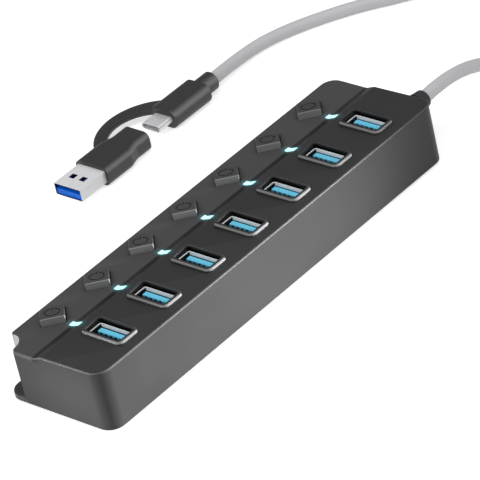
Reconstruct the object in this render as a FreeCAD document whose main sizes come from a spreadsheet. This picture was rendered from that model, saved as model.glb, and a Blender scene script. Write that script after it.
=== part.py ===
"""Seven-port powered USB hub with a captive cable, a USB-C plug and a tethered USB-A adapter.

Millimetres. +X runs across the hub towards the ports, +Y along it towards the cable, +Z up.
The origin is the middle of the underside, on the surface that the rubber feet stand on.
"""
import FreeCAD, Part
import math
import os

import Sketcher
from FreeCAD import Placement, Rotation, Vector

doc = FreeCAD.newDocument("usb_hub")
sheet = doc.addObject("Spreadsheet::Sheet", "Sizes")
sub_parts = []


# ---------------------------------------------------------------- driving sizes

class Size:
    """A length or angle: its number now, and the sheet expression that gives it."""

    def __init__(self, value, text):
        self.value = float(value)
        self.text = text

    def _with(self, other, sign, swap=False):
        other = other if isinstance(other, Size) else Size(other, repr(other))
        first, second = (other, self) if swap else (self, other)
        result = {
            "+": lambda a, b: a + b,
            "-": lambda a, b: a - b,
            "*": lambda a, b: a * b,
            "/": lambda a, b: a / b,
        }[sign](first.value, second.value)
        return Size(result, "(%s %s %s)" % (first.text, sign, second.text))

    def __add__(self, other):
        return self._with(other, "+")

    def __radd__(self, other):
        return self._with(other, "+", True)

    def __sub__(self, other):
        return self._with(other, "-")

    def __rsub__(self, other):
        return self._with(other, "-", True)

    def __mul__(self, other):
        return self._with(other, "*")

    def __rmul__(self, other):
        return self._with(other, "*", True)

    def __truediv__(self, other):
        return self._with(other, "/")

    def __neg__(self):
        return 0 - self


next_row = [1]


def size(name, value, note):
    """Put one driving size in the sheet and hand back a Size that reads it."""
    row = next_row[0]
    next_row[0] += 1
    sheet.set("A%d" % row, name)
    sheet.set("B%d" % row, str(value))
    sheet.set("C%d" % row, note)
    sheet.setAlias("B%d" % row, name)
    return Size(value, "Sizes." + name)


ZERO = Size(0, "0")

# The casing
hub_length = size("hub_length", 165.0, "along Y")
hub_width = size("hub_width", 45.0, "along X")
corner_round = size("corner_round", 5.0, "upright corners, outside")
corner_cut = size("corner_cut", 8.0, "leg of the cut corner that holds the power inlet")
foot_proud = size("foot_proud", 0.8, "gap under the casing")
base_thick = size("base_thick", 2.0, "base plate")
seam_gap = size("seam_gap", 0.3, "shadow gap over the base plate's corner tab")
wall = size("wall", 1.8, "side walls and top of the shell")
low_top = size("low_top", 20.3, "top of the button panel")
high_top = size("high_top", 21.6, "top of the port panel at the step")
edge_top = size("edge_top", 22.2, "top of the port panel at the outer edge")
step_before = size("step_before", 0.8, "step's start before the middle of the lights")
step_run = size("step_run", 3.4, "run of the step along X")
step_round = size("step_round", 3.0, "both bends of the step")
rim_round = size("rim_round", 0.7, "rim of the top")
edge_round = size("edge_round", 0.5, "small outer edges")
tab_neck = size("tab_neck", 4.0, "half width of the neck that joins the base plate's corner tab")
lip_rise = size("lip_rise", 2.2, "height of the base plate's inner lip")
lip_thick = size("lip_thick", 1.2, "thickness of the inner lip")
fit_gap = size("fit_gap", 0.15, "clearance between fixed pieces that slot together")

# The row of ports, lights and buttons
port_count = 7
row_inset = size("row_inset", 19.5, "first and last port from the ends")
port_inset = size("port_inset", 13.2, "ports from the right side")
collar_wide = size("collar_wide", 17.6, "collar, along X")
collar_deep = size("collar_deep", 9.4, "collar, along Y")
collar_round = size("collar_round", 2.2, "upright corners of the collar")
collar_top = size("collar_top", 23.2, "top face of the collars")
collar_edge = size("collar_edge", 0.9, "outer top edge of the collars")
mouth_wide = size("mouth_wide", 14.7, "recess in the collar round the socket, along X")
mouth_deep = size("mouth_deep", 7.1, "recess in the collar round the socket, along Y")
mouth_drop = size("mouth_drop", 1.9, "depth of that recess")
mouth_round = size("mouth_round", 1.0, "upright corners of that recess")
socket_wide = size("socket_wide", 13.1, "outside of the USB-A socket shell, along X")
socket_deep = size("socket_deep", 5.72, "outside of the USB-A socket shell, along Y")
socket_wall = size("socket_wall", 0.3, "sheet of the socket shell")
socket_drop = size("socket_drop", 1.4, "socket shell below the collar's top")
tongue_wide = size("tongue_wide", 11.1, "USB-A socket tongue, along X")
tongue_thick = size("tongue_thick", 1.84, "USB-A socket tongue, along Y")
tongue_drop = size("tongue_drop", 0.8, "tongue tip below the socket shell's rim")
tongue_gap = size("tongue_gap", 0.62, "between the tongue's back and the shell")
socket_round = size("socket_round", 0.7, "upright corners of the socket shell")
tongue_length = size("tongue_length", 8.9, "free length of the tongue")
contact_thick = size("contact_thick", 0.15, "contact strips above the tongue")
contact_wide = size("contact_wide", 0.75, "contact strips across")
long_pitch = size("long_pitch", 2.5, "between the four long contacts")
short_pitch = size("short_pitch", 2.0, "between the five short contacts")
long_contact = size("long_contact", 4.4, "length of the long contacts")
short_contact = size("short_contact", 1.8, "length of the short contacts")
long_behind = size("long_behind", 2.2, "long contacts behind the short ones' tips")

button_inset = size("button_inset", 7.3, "buttons from the left side")
button_side = size("button_side", 8.0, "side of the square cap")
button_gap = size("button_gap", 0.2, "clearance round the cap in its hole")
button_low = size("button_low", 1.3, "low edge of the cap above the panel")
button_high = size("button_high", 2.5, "high edge of the cap above the panel")
button_edge = size("button_edge", 0.4, "rounding of the cap's top edges")
button_travel = size("button_travel", 1.2, "how far a button goes down")
flange_wide = size("flange_wide", 9.0, "flange that keeps a button in, along X")
flange_long = size("flange_long", 12.4, "that flange along Y")
flange_thick = size("flange_thick", 1.0, "thickness of that flange")
flange_gap = size("flange_gap", 0.3, "flange below the ceiling at rest")
stem_side = size("stem_side", 3.0, "square stem that enters the switch")
stem_gap = size("stem_gap", 0.2, "clearance round the stem in the switch")
stem_reach = size("stem_reach", 1.6, "stem inside the switch at rest")
symbol_ring = size("symbol_ring", 2.6, "outer radius of the engraved power symbol")
symbol_line = size("symbol_line", 0.4, "width of the engraved line")
symbol_start = size("symbol_start", 1.2, "near end of the symbol's bar from its middle")
symbol_bar = size("symbol_bar", 2.0, "length of the symbol's bar")
symbol_gap = size("symbol_gap", 1.2, "opening of the ring, where the bar runs through")
symbol_depth = size("symbol_depth", 0.25, "depth of the engraving")
switch_side = size("switch_side", 7.0, "square body of the switch")
switch_tall = size("switch_tall", 6.0, "height of the switch body")

light_offset = size("light_offset", 9.8, "lights from the buttons, along X")
light_wide = size("light_wide", 4.2, "light pipe, along X")
light_deep = size("light_deep", 1.9, "light pipe, along Y")
light_proud = size("light_proud", 0.12, "light pipe above the panel and the step")
led_wide = size("led_wide", 3.2, "indicator LED, along X")
led_deep = size("led_deep", 1.6, "indicator LED, along Y")
led_tall = size("led_tall", 0.8, "indicator LED height")

# The board and what is on it
board_lift = size("board_lift", 3.2, "board above the base plate")
board_thick = size("board_thick", 1.6, "printed circuit board")
board_gap = size("board_gap", 0.4, "board edge to the shell's inner wall")
post_radius = size("post_radius", 2.4, "screw posts of the base plate")
post_inset_x = size("post_inset_x", 5.2, "screw posts from the sides")
post_inset_y = size("post_inset_y", 7.5, "screw posts from the ends")
screw_radius = size("screw_radius", 1.0, "screw thread")
thread_gap = size("thread_gap", 0.05, "clearance of the thread in its boss")
screw_head = size("screw_head", 1.9, "screw head radius")
screw_head_tall = size("screw_head_tall", 1.0, "screw head height")
screw_end = size("screw_end", 13.0, "top end of the screws")
foot_radius = size("foot_radius", 4.5, "rubber foot")
foot_seat = size("foot_seat", 0.8, "depth of the foot's seat in the base plate")
foot_inset_x = size("foot_inset_x", 14.0, "foot centres from the outside, along X")
foot_inset_y = size("foot_inset_y", 15.5, "foot centres from the ends")
chip_side = size("chip_side", 7.0, "hub controller chip")
chip_tall = size("chip_tall", 0.9, "hub controller height")
can_radius = size("can_radius", 2.5, "electrolytic capacitor")
can_tall = size("can_tall", 5.4, "electrolytic capacitor height")

# The power inlet
jack_z = size("jack_z", 12.9, "height of the inlet's axis")
scoop_radius = size("scoop_radius", 4.1, "half width of the scoop in the cut corner")
scoop_depth = size("scoop_depth", 2.2, "depth of the scoop")
scoop_bow = size("scoop_bow", 4.9, "radius of the scoop, seen from above")
scoop_wall = size("scoop_wall", 1.8, "wall behind the scoop")
jack_nose = size("jack_nose", 2.7, "radius of the jack's round nose")
jack_hole = size("jack_hole", 1.85, "radius of the jack's bore")
jack_bore_deep = size("jack_bore_deep", 8.0, "depth of the jack's bore")
jack_pin = size("jack_pin", 0.65, "radius of the centre pin")
jack_length = size("jack_length", 9.0, "jack block behind the scoop's wall")
jack_wide = size("jack_wide", 6.4, "jack block across")
jack_above = size("jack_above", 2.9, "jack block above the inlet's axis")
pin_back = size("pin_back", 0.6, "pin behind the nose's face")

# The cable and its two ends
cable_round = size("cable_round", 4.6, "cable diameter")
boot_inset = size("boot_inset", 11.5, "cable boot from the right side")
boot_z = size("boot_z", 16.0, "height of the cable boot's axis")
boot_root = size("boot_root", 3.7, "boot radius at the casing")
boot_tip = size("boot_tip", 3.1, "boot radius at its end")
boot_length = size("boot_length", 7.0, "boot outside the casing")
boot_neck = size("boot_neck", 3.0, "boot radius in the wall")
boot_flange = size("boot_flange", 3.6, "boot flange inside the wall")
boot_flange_thick = size("boot_flange_thick", 1.4, "that flange's thickness")
tail_length = size("tail_length", 6.0, "cable between the boot and its connector on the board")
header_wide = size("header_wide", 8.0, "that connector along X")
header_deep = size("header_deep", 4.4, "that connector along Y")

plug_x = size("plug_x", -80.9, "X of the plugs' common axis")
grip_y = size("grip_y", 58.9, "front face of the USB-C grip")
grip_length = size("grip_length", 18.8, "USB-C grip")
grip_wide = size("grip_wide", 11.6, "USB-C grip across")
grip_tall = size("grip_tall", 7.2, "both grips' height")
grip_round = size("grip_round", 3.0, "long edges of the USB-C grip")
plug_boot_radius = size("plug_boot_radius", 3.5, "boot of the USB-C plug")
plug_boot_tip = size("plug_boot_tip", 3.0, "that boot's radius at its end")
plug_boot_length = size("plug_boot_length", 6.8, "length of that boot")
type_c_wide = size("type_c_wide", 8.25, "USB-C plug shell across")
type_c_tall = size("type_c_tall", 2.4, "USB-C plug shell height")
type_c_length = size("type_c_length", 6.65, "USB-C plug shell in front of the grip")
type_c_root = size("type_c_root", 4.0, "USB-C plug shell inside the grip")
type_c_wall = size("type_c_wall", 0.25, "USB-C plug shell sheet")
type_c_fill = size("type_c_fill", 5.8, "insulator behind the USB-C plug's mouth")

adapter_gap = size("adapter_gap", 13.4, "from the adapter's back to the grip's front")
adapter_clear = size("adapter_clear", 0.3, "left between them when the adapter is on")
adapter_front = size("adapter_front", 14.6, "wide end of the adapter's body across")
adapter_back = size("adapter_back", 11.6, "narrow end of the adapter's body across")
adapter_front_length = size("adapter_front_length", 12.0, "wide end's length")
adapter_taper = size("adapter_taper", 4.4, "length of the taper between them")
adapter_back_length = size("adapter_back_length", 6.6, "narrow end's length")
adapter_bend = size("adapter_bend", 4.0, "both bends of the adapter's waist")
adapter_round = size("adapter_round", 2.4, "long edges of the adapter's body")
type_a_wide = size("type_a_wide", 12.0, "USB-A plug shell across")
type_a_tall = size("type_a_tall", 4.5, "USB-A plug shell height")
type_a_length = size("type_a_length", 12.4, "USB-A plug shell in front of the body")
type_a_root = size("type_a_root", 5.0, "USB-A plug shell inside the body")
type_a_wall = size("type_a_wall", 0.3, "USB-A plug shell sheet")
type_a_tongue = size("type_a_tongue", 2.0, "height of the plug's blue tongue")
type_a_back = size("type_a_back", 0.35, "tongue behind the shell's mouth")
window_side = size("window_side", 2.4, "square windows in the USB-A plug shell")
window_pitch = size("window_pitch", 4.6, "between the two windows")
window_back = size("window_back", 4.6, "windows behind the shell's mouth")
plug_pad = size("plug_pad", 1.2, "contacts of the USB-A plug across")
plug_pad_length = size("plug_pad_length", 8.7, "length of those contacts")
plug_pad_pitch = size("plug_pad_pitch", 2.5, "between those contacts")
socket_c_wide = size("socket_c_wide", 8.5, "inside of the adapter's USB-C socket across")
socket_c_tall = size("socket_c_tall", 2.65, "inside of the adapter's USB-C socket")
socket_c_sheet = size("socket_c_sheet", 0.3, "sheet of that socket")
socket_c_deep = size("socket_c_deep", 6.9, "depth of that socket")
socket_c_tongue_wide = size("socket_c_tongue_wide", 6.0, "tongue of that socket across")
socket_c_tongue_tall = size("socket_c_tongue_tall", 0.7, "thickness of that tongue")
socket_c_tongue_back = size("socket_c_tongue_back", 1.0, "that tongue's tip inside the socket's mouth")
strap_clear = size("strap_clear", 0.2, "strap's end to the adapter's side")
strap_wide = size("strap_wide", 4.6, "strap across at its middle, lying flat")
strap_thick = size("strap_thick", 2.0, "strap thickness")
strap_out = size("strap_out", 16.7, "strap's outer edge beyond the plugs' axis")
strap_outer = size("strap_outer", 20.5, "bow of the strap's outer edge")
strap_outer_back = size("strap_outer_back", 9.7, "middle of that bow before the grip's front face")
strap_inner = size("strap_inner", 13.2, "bow of the strap's inner edge")
strap_inner_back = size("strap_inner_back", 10.5, "middle of that bow before the grip's front face")

# The cable coil
coil_x = size("coil_x", -12.0, "middle of the coil")
coil_y = size("coil_y", 199.0, "middle of the coil")
coil_middle = size("coil_middle", 23.6, "mean radius of the coil")
nest = size("nest", 0.87, "rise of the top turn, in cable diameters")
tie_wide = size("tie_wide", 6.0, "band that holds the coil")
tie_thick = size("tie_thick", 0.8, "thickness of that band")
tie_gap = size("tie_gap", 0.4, "band to the coil at its sides")

doc.recompute()

# ---------------------------------------------------------------- worked-out levels

half_length = hub_length / 2
half_width = hub_width / 2
port_x = half_width - port_inset
button_x = button_inset - half_width
light_x = button_x + light_offset
boot_x = half_width - boot_inset
port_pitch = (hub_length - 2 * row_inset) / (port_count - 1)
base_top = foot_proud + base_thick
board_bottom = base_top + board_lift
board_top = board_bottom + board_thick
low_ceiling = low_top - wall
high_ceiling = high_top - wall
step_start = light_x - step_before
step_end = step_start + step_run
socket_top = collar_top - socket_drop
socket_tall = socket_top - board_top
inner_half_width = half_width - wall
inner_half_length = half_length - wall
plug_z = grip_tall / 2
first_port_y = -port_pitch * ((port_count - 1) / 2)
DIAGONAL = math.sqrt(2.0)


def row_y(index):
    """Y of one port, button and light, counted from the near end."""
    return first_port_y + port_pitch * index


# ---------------------------------------------------------------- drawing helpers

def bind(obj, name, value):
    """Set a property from a Size and keep it tied to the sheet."""
    obj.setExpression(name, value.text)


def place(obj, x=ZERO, y=ZERO, z=ZERO, turn=None):
    """Place a piece at a sheet-driven point, with an optional fixed turn."""
    if turn is not None:
        obj.Placement = Placement(Vector(x.value, y.value, z.value), turn)
    bind(obj, "Placement.Base.x", x)
    bind(obj, "Placement.Base.y", y)
    bind(obj, "Placement.Base.z", z)
    return obj


def keep(obj, label):
    """Count an object as a finished sub-part."""
    obj.Label = label
    sub_parts.append(obj)
    return obj


def body_at(label, x=ZERO, y=ZERO, z=ZERO, turn=None):
    body = doc.addObject("PartDesign::Body", label)
    body.Label = label
    return place(body, x, y, z, turn)


def origin_piece(body, role):
    return [item for item in body.Origin.OriginFeatures if item.Role == role][0]


def sketch_on(body, name, role="XY_Plane", height=None):
    sketch = body.newObject("Sketcher::SketchObject", name)
    sketch.AttachmentSupport = [(origin_piece(body, role), "")]
    sketch.MapMode = "FlatFace"
    if height is not None:
        bind(sketch, "AttachmentOffset.Base.z", height)
    return sketch


def fix_point(sketch, line, x, y, name):
    """Tie the start of a line to a sheet-driven point."""
    sketch.addConstraint(Sketcher.Constraint("DistanceX", -1, 1, line, 1, x.value))
    sketch.renameConstraint(sketch.ConstraintCount - 1, name + "_x")
    sketch.addConstraint(Sketcher.Constraint("DistanceY", -1, 1, line, 1, y.value))
    sketch.renameConstraint(sketch.ConstraintCount - 1, name + "_y")
    sketch.setExpression("Constraints.%s_x" % name, x.text)
    sketch.setExpression("Constraints.%s_y" % name, y.text)


def draw_polygon(sketch, points, name="corner"):
    """Closed outline through sheet-driven points."""
    count = len(points)
    first = sketch.GeometryCount
    for index, (x, y) in enumerate(points):
        end_x, end_y = points[(index + 1) % count]
        start = Vector(x.value, y.value, 0)
        end = Vector(end_x.value, end_y.value, 0)
        sketch.addGeometry(Part.LineSegment(start, end), False)
    for index, (x, y) in enumerate(points):
        line = first + index
        following = first + (index + 1) % count
        sketch.addConstraint(Sketcher.Constraint("Coincident", line, 2, following, 1))
        fix_point(sketch, line, x, y, "%s_%d" % (name, index + 1))
    return sketch


def draw_rectangle(sketch, x, y, wide, deep, name="corner"):
    """Rectangle about a middle point."""
    left = x - wide / 2
    right = x + wide / 2
    front = y - deep / 2
    back = y + deep / 2
    corners = [(left, front), (right, front), (right, back), (left, back)]
    return draw_polygon(sketch, corners, name)


def draw_circle(sketch, x, y, radius, name="circle"):
    middle = Vector(x.value, y.value, 0)
    circle = Part.Circle(middle, Vector(0, 0, 1), radius.value)
    index = sketch.addGeometry(circle, False)
    sketch.addConstraint(Sketcher.Constraint("DistanceX", -1, 1, index, 3, x.value))
    sketch.renameConstraint(sketch.ConstraintCount - 1, name + "_x")
    sketch.addConstraint(Sketcher.Constraint("DistanceY", -1, 1, index, 3, y.value))
    sketch.renameConstraint(sketch.ConstraintCount - 1, name + "_y")
    sketch.addConstraint(Sketcher.Constraint("Radius", index, radius.value))
    sketch.renameConstraint(sketch.ConstraintCount - 1, name + "_r")
    sketch.setExpression("Constraints.%s_x" % name, x.text)
    sketch.setExpression("Constraints.%s_y" % name, y.text)
    sketch.setExpression("Constraints.%s_r" % name, radius.text)
    return sketch


def pad(body, name, sketch, length, symmetric=False, reverse=False):
    feature = body.newObject("PartDesign::Pad", name)
    feature.Profile = sketch
    bind(feature, "Length", length)
    if symmetric:
        feature.SideType = "Symmetric"
    feature.Reversed = reverse
    doc.recompute()
    return feature


def pocket(body, name, sketch, length, symmetric=False, upwards=False):
    """Cut a sketch out of a body, and make sure that it cuts."""
    before = body.Shape.Volume
    feature = body.newObject("PartDesign::Pocket", name)
    feature.Profile = sketch
    bind(feature, "Length", length)
    if symmetric:
        feature.SideType = "Symmetric"
    feature.Reversed = upwards
    doc.recompute()
    if body.Shape.Volume >= before:
        raise RuntimeError("%s of %s cuts nothing" % (name, body.Label))
    return feature


def along_the_row(body, name, feature):
    """Repeat a feature at every port."""
    pattern = body.newObject("PartDesign::LinearPattern", name)
    pattern.Originals = [feature]
    pattern.Direction = (origin_piece(body, "Y_Axis"), [""])
    bind(pattern, "Length", port_pitch * (port_count - 1))
    pattern.Occurrences = port_count
    body.Tip = pattern
    doc.recompute()
    return pattern


def edges_where(shape, test):
    """Names of the edges whose points all pass a test."""
    names = []
    for index, edge in enumerate(shape.Edges):
        points = edge.discretize(Number=5)
        if all(test(point) for point in points):
            names.append("Edge%d" % (index + 1))
    return names


def near(first, second, slack=0.02):
    return abs(first - second) < slack


def fillet(body, name, radius, test):
    """Round the edges of a body that pass a test, given in the body's own frame."""
    base = body.Tip
    names = edges_where(base.Shape, test)
    if not names:
        raise RuntimeError("%s of %s finds no edge" % (name, body.Label))
    feature = body.newObject("PartDesign::Fillet", name)
    feature.Base = (base, names)
    bind(feature, "Radius", radius)
    doc.recompute()
    return feature


def chamfer(body, name, leg, test):
    """Bevel the edges of a body that pass a test, given in the body's own frame."""
    base = body.Tip
    names = edges_where(base.Shape, test)
    if not names:
        raise RuntimeError("%s of %s finds no edge" % (name, body.Label))
    feature = body.newObject("PartDesign::Chamfer", name)
    feature.Base = (base, names)
    bind(feature, "Size", leg)
    doc.recompute()
    return feature


def block(name, x, y, z, wide, deep, tall):
    """Box standing on z, about a middle point in X and Y."""
    box = doc.addObject("Part::Box", name)
    bind(box, "Length", wide)
    bind(box, "Width", deep)
    bind(box, "Height", tall)
    return place(box, x - wide / 2, y - deep / 2, z)


def rod(name, x, y, z, radius, tall, turn=None):
    cylinder = doc.addObject("Part::Cylinder", name)
    bind(cylinder, "Radius", radius)
    bind(cylinder, "Height", tall)
    return place(cylinder, x, y, z, turn)


def cut(name, base, tool):
    result = doc.addObject("Part::Cut", name)
    result.Base = base
    result.Tool = tool
    return result


def group(name, members):
    """Separate solids kept together as one sub-part."""
    result = doc.addObject("Part::Compound", name)
    result.Links = members
    return result


ALONG_Y = Rotation(Vector(1, 0, 0), -90)
INWARDS = Rotation(Vector(0, 0, 1), 45)


# ---------------------------------------------------------------- casing

def casing_corners(body, name, half_wide, half_long, radius, leg=None):
    """Round a block's upright corners, with a cut one at the near left if a leg is given."""

    def upright(point, x, y):
        return near(point.x, x) and near(point.y, y)

    wide = half_wide.value
    long = half_long.value
    rounded = [(wide, -long), (wide, long), (-wide, long)]
    if leg is None:
        rounded.append((-wide, -long))
    if leg is not None:
        chamfer(body, name + "Cut", leg, lambda p: upright(p, -wide, -long))
    fillet(body, name + "Rounds", radius, lambda p: any(upright(p, x, y) for x, y in rounded))


def on_outline(point):
    """Whether a point lies on the casing's outline, seen from above."""
    wide = half_width.value
    long = half_length.value
    radius = corner_round.value
    leg = corner_cut.value
    x, y = point.x, point.y
    if near(-x - y, wide + long - leg) and x < leg - wide + 0.1 and y < leg - long + 0.1:
        return True
    corner_x = abs(x) - (wide - radius)
    corner_y = abs(y) - (long - radius)
    in_cut = x < 0 and y < 0
    if corner_x > 0 and corner_y > 0 and not in_cut:
        return near(math.hypot(corner_x, corner_y), radius)
    return near(abs(x), wide) or near(abs(y), long)


def make_top_shell():
    body = body_at("top_shell")
    profile = sketch_on(body, "TopProfile", "XZ_Plane")
    draw_polygon(profile, [
        (-half_width, foot_proud),
        (half_width, foot_proud),
        (half_width, edge_top),
        (step_end, high_top),
        (step_start, low_top),
        (-half_width, low_top),
    ])
    pad(body, "Block", profile, hub_length, symmetric=True)
    casing_corners(body, "Corner", half_width, half_length, corner_round, corner_cut)
    fillet(body, "StepRounds", step_round, lambda p: (
        near(p.z, high_top.value) and near(p.x, step_end.value))
        or (near(p.z, low_top.value) and near(p.x, step_start.value)))
    fillet(body, "RimRound", rim_round, lambda p: p.z > low_top.value - 0.1 and on_outline(p))
    add_collars(body)
    hollow_out(body)
    add_inlet_boss(body)
    cut_port_windows(body)
    round_collar_rims(body)
    cut_row_openings(body)
    cut_inlet(body)
    cut_tab_slot(body)
    cut_cable_hole(body)
    add_screw_bosses(body)
    return keep(body, "top_shell")


def add_collars(body):
    sketch = sketch_on(body, "CollarOutline", height=high_ceiling)
    draw_rectangle(sketch, port_x, row_y(0), collar_wide, collar_deep)
    collar = pad(body, "Collar", sketch, collar_top - high_ceiling)
    along_the_row(body, "Collars", collar)
    above = (high_top - wall / 2).value
    round_in_collars(body, "CollarCorners", collar_round, collar_wide, collar_deep, above)


def round_in_collars(body, name, radius, wide, deep, above=0):
    """Round the upright corners of the rectangle of a given size in every collar."""
    half_wide = wide.value / 2
    half_deep = deep.value / 2

    def upright(point):
        across, along = beside_port(point)
        return near(across, half_wide) and near(along, half_deep) and point.z > above

    fillet(body, name, radius, upright)


def beside_port(point):
    """Distances of a point from the nearest port's middle, across and along the hub."""
    along = min(abs(point.y - row_y(index).value) for index in range(port_count))
    return abs(point.x - port_x.value), along


def hollow_out(body):
    """The cavity for the works: a low part under the buttons and a high part under the ports."""
    left = -inner_half_width
    right = inner_half_width
    split = step_end
    leg = corner_cut - wall * (2 - DIAGONAL)
    low = sketch_on(body, "LowCavity", height=foot_proud)
    draw_polygon(low, [
        (left + leg, -inner_half_length),
        (split, -inner_half_length),
        (split, inner_half_length),
        (left + corner_round - wall, inner_half_length),
        (left, inner_half_length - corner_round + wall),
        (left, leg - inner_half_length),
    ])
    pocket(body, "LowHollow", low, low_ceiling - foot_proud, upwards=True)
    high = sketch_on(body, "HighCavity", height=foot_proud)
    bevel = corner_round - wall
    draw_polygon(high, [
        (split, -inner_half_length),
        (right - bevel, -inner_half_length),
        (right, bevel - inner_half_length),
        (right, inner_half_length - bevel),
        (right - bevel, inner_half_length),
        (split, inner_half_length),
    ])
    pocket(body, "HighHollow", high, high_ceiling - foot_proud, upwards=True)


def diagonal_point(inwards, sideways):
    """Plan point measured from the middle of the cut corner's face."""
    x = corner_cut / 2 - half_width + (inwards + sideways) / DIAGONAL
    y = corner_cut / 2 - half_length + (inwards - sideways) / DIAGONAL
    return x, y


def add_inlet_boss(body):
    """Solid corner behind the cut face, which carries the scoop."""
    half = scoop_radius + scoop_wall
    back = scoop_depth + scoop_wall
    front = wall / 2
    bottom = board_top + fit_gap
    sketch = sketch_on(body, "InletBossPlan", height=bottom)
    draw_polygon(sketch, diagonal_rectangle(front, back, half))
    pad(body, "InletBoss", sketch, low_ceiling + wall / 2 - bottom)


def cut_port_windows(body):
    """Window in each collar that the socket stands in, and the wider recess round it."""
    sketch = sketch_on(body, "PortWindow", height=collar_top)
    wide = socket_wide + 2 * fit_gap
    deep = socket_deep + 2 * fit_gap
    draw_rectangle(sketch, port_x, row_y(0), wide, deep)
    window = pocket(body, "Window", sketch, collar_top - high_ceiling + wall)
    along_the_row(body, "Windows", window)
    round_in_collars(body, "WindowCorners", socket_round + fit_gap, wide, deep)
    mouth = sketch_on(body, "MouthPlan", height=collar_top)
    draw_rectangle(mouth, port_x, row_y(0), mouth_wide, mouth_deep)
    recess = pocket(body, "Mouth", mouth, mouth_drop)
    along_the_row(body, "Mouths", recess)
    round_in_collars(body, "MouthCorners", mouth_round, mouth_wide, mouth_deep)


def round_collar_rims(body):
    """Round the outer top edges of the collars."""
    half_wide = mouth_wide.value / 2
    half_deep = mouth_deep.value / 2

    def rim(point):
        across, along = beside_port(point)
        outside = across > half_wide + 0.1 or along > half_deep + 0.1
        return outside and near(point.z, collar_top.value)

    fillet(body, "CollarRim", collar_edge, rim)


def turned_square(x, y, side):
    """Corners of a square turned 45 degrees."""
    reach = side / DIAGONAL
    return [(x, y - reach), (x + reach, y), (x, y + reach), (x - reach, y)]


def cut_row_openings(body):
    through = low_top - low_ceiling
    hole = sketch_on(body, "ButtonOpening", height=low_top)
    draw_polygon(hole, turned_square(button_x, row_y(0), button_side + 2 * button_gap))
    below = flange_gap + flange_thick + button_travel + flange_gap
    button_hole = pocket(body, "ButtonHole", hole, through + below)
    along_the_row(body, "ButtonHoles", button_hole)
    slot = sketch_on(body, "LightOpening", height=edge_top)
    gap = 2 * fit_gap
    draw_rectangle(slot, light_x, row_y(0), light_wide + gap, light_deep + gap)
    light_slot = pocket(body, "LightSlot", slot, edge_top - low_ceiling + wall / 2)
    along_the_row(body, "LightSlots", light_slot)


def cut_inlet(body):
    """Open scoop in the cut corner and the round hole for the jack's nose."""
    plan = sketch_on(body, "ScoopPlan", height=edge_top)
    x, y = diagonal_point(scoop_depth - scoop_bow, ZERO)
    draw_circle(plan, x, y, scoop_bow)
    pocket(body, "Scoop", plan, edge_top - jack_z + scoop_radius)
    nose = body.newObject("Sketcher::SketchObject", "NoseRound")
    nose.AttachmentSupport = [(origin_piece(body, "XZ_Plane"), "")]
    nose.MapMode = "FlatFace"
    x, y = diagonal_point(scoop_depth, ZERO)
    nose.AttachmentOffset = Placement(Vector(x.value, 0, -y.value), Rotation(Vector(0, 1, 0), -45))
    bind(nose, "AttachmentOffset.Base.x", x)
    bind(nose, "AttachmentOffset.Base.z", -y)
    draw_circle(nose, ZERO, jack_z, jack_nose + fit_gap)
    pocket(body, "NoseHole", nose, scoop_wall * 2, symmetric=True)


def cut_tab_slot(body):
    """Slot under the cut face, which the neck of the base plate's corner tab runs through."""
    sketch = sketch_on(body, "TabSlotPlan", height=foot_proud)
    draw_polygon(sketch, diagonal_rectangle(-wall, wall + fit_gap, tab_neck + fit_gap))
    pocket(body, "TabSlot", sketch, base_thick + seam_gap, upwards=True)


def diagonal_rectangle(front, back, half):
    """Plan of a block square to the cut corner's face, from its depths and half width."""
    return [
        diagonal_point(front, -half),
        diagonal_point(back, -half),
        diagonal_point(back, half),
        diagonal_point(front, half),
    ]


def cut_cable_hole(body):
    sketch = sketch_on(body, "CableOpening", "XZ_Plane", height=-half_length)
    draw_circle(sketch, boot_x, boot_z, boot_neck + fit_gap)
    pocket(body, "CableHole", sketch, wall * 2, symmetric=True)


def post_places():
    """Plan points of the four screws."""
    x = half_width - post_inset_x
    y = half_length - post_inset_y
    between_buttons = row_y(0) + port_pitch / 2
    return [(-x, between_buttons), (x, -y), (x, y), (-x, y)]


def add_screw_bosses(body):
    """Bosses under the two ceilings that the screws bite into."""
    for side, ceiling in (("Left", low_ceiling), ("Right", high_ceiling)):
        sketch = sketch_on(body, side + "BossPlan", height=board_top)
        for index, (x, y) in enumerate(post_places()):
            if (x.value < 0) == (side == "Left"):
                draw_circle(sketch, x, y, post_radius, "boss_%d" % (index + 1))
        pad(body, side + "Bosses", sketch, ceiling + wall / 4 - board_top)
    holes = sketch_on(body, "BossHoles", height=board_top)
    for index, (x, y) in enumerate(post_places()):
        draw_circle(holes, x, y, screw_radius + thread_gap, "hole_%d" % (index + 1))
    pocket(body, "ScrewHoles", holes, screw_end - board_top + wall / 2, upwards=True)


def make_base_plate():
    """Plate between the shell's walls, with a tab that fills the cut corner outside them."""
    body = body_at("base_plate")
    outline = sketch_on(body, "Outline", height=foot_proud)
    draw_polygon(outline, lip_outline(wall + fit_gap))
    pad(body, "Plate", outline, base_thick)
    neck = sketch_on(body, "NeckPlan", height=foot_proud)
    draw_polygon(neck, diagonal_rectangle(-2 * fit_gap, wall + lip_thick, tab_neck))
    pad(body, "Neck", neck, base_thick)
    tab = sketch_on(body, "TabPlan", height=foot_proud)
    leg = corner_cut - fit_gap * DIAGONAL
    draw_polygon(tab, [
        (-half_width, -half_length),
        (leg - half_width, -half_length),
        (-half_width, leg - half_length),
    ])
    pad(body, "Tab", tab, base_thick)
    left = -half_width.value
    front = -half_length.value
    fillet(body, "TabCorner", corner_round, lambda p: near(p.x, left) and near(p.y, front))
    fillet(body, "TabEdge", edge_round, lambda p: near(p.z, base_top.value) and on_outline(p))
    add_lip(body)
    add_posts(body)
    return keep(body, "base_plate")


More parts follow.
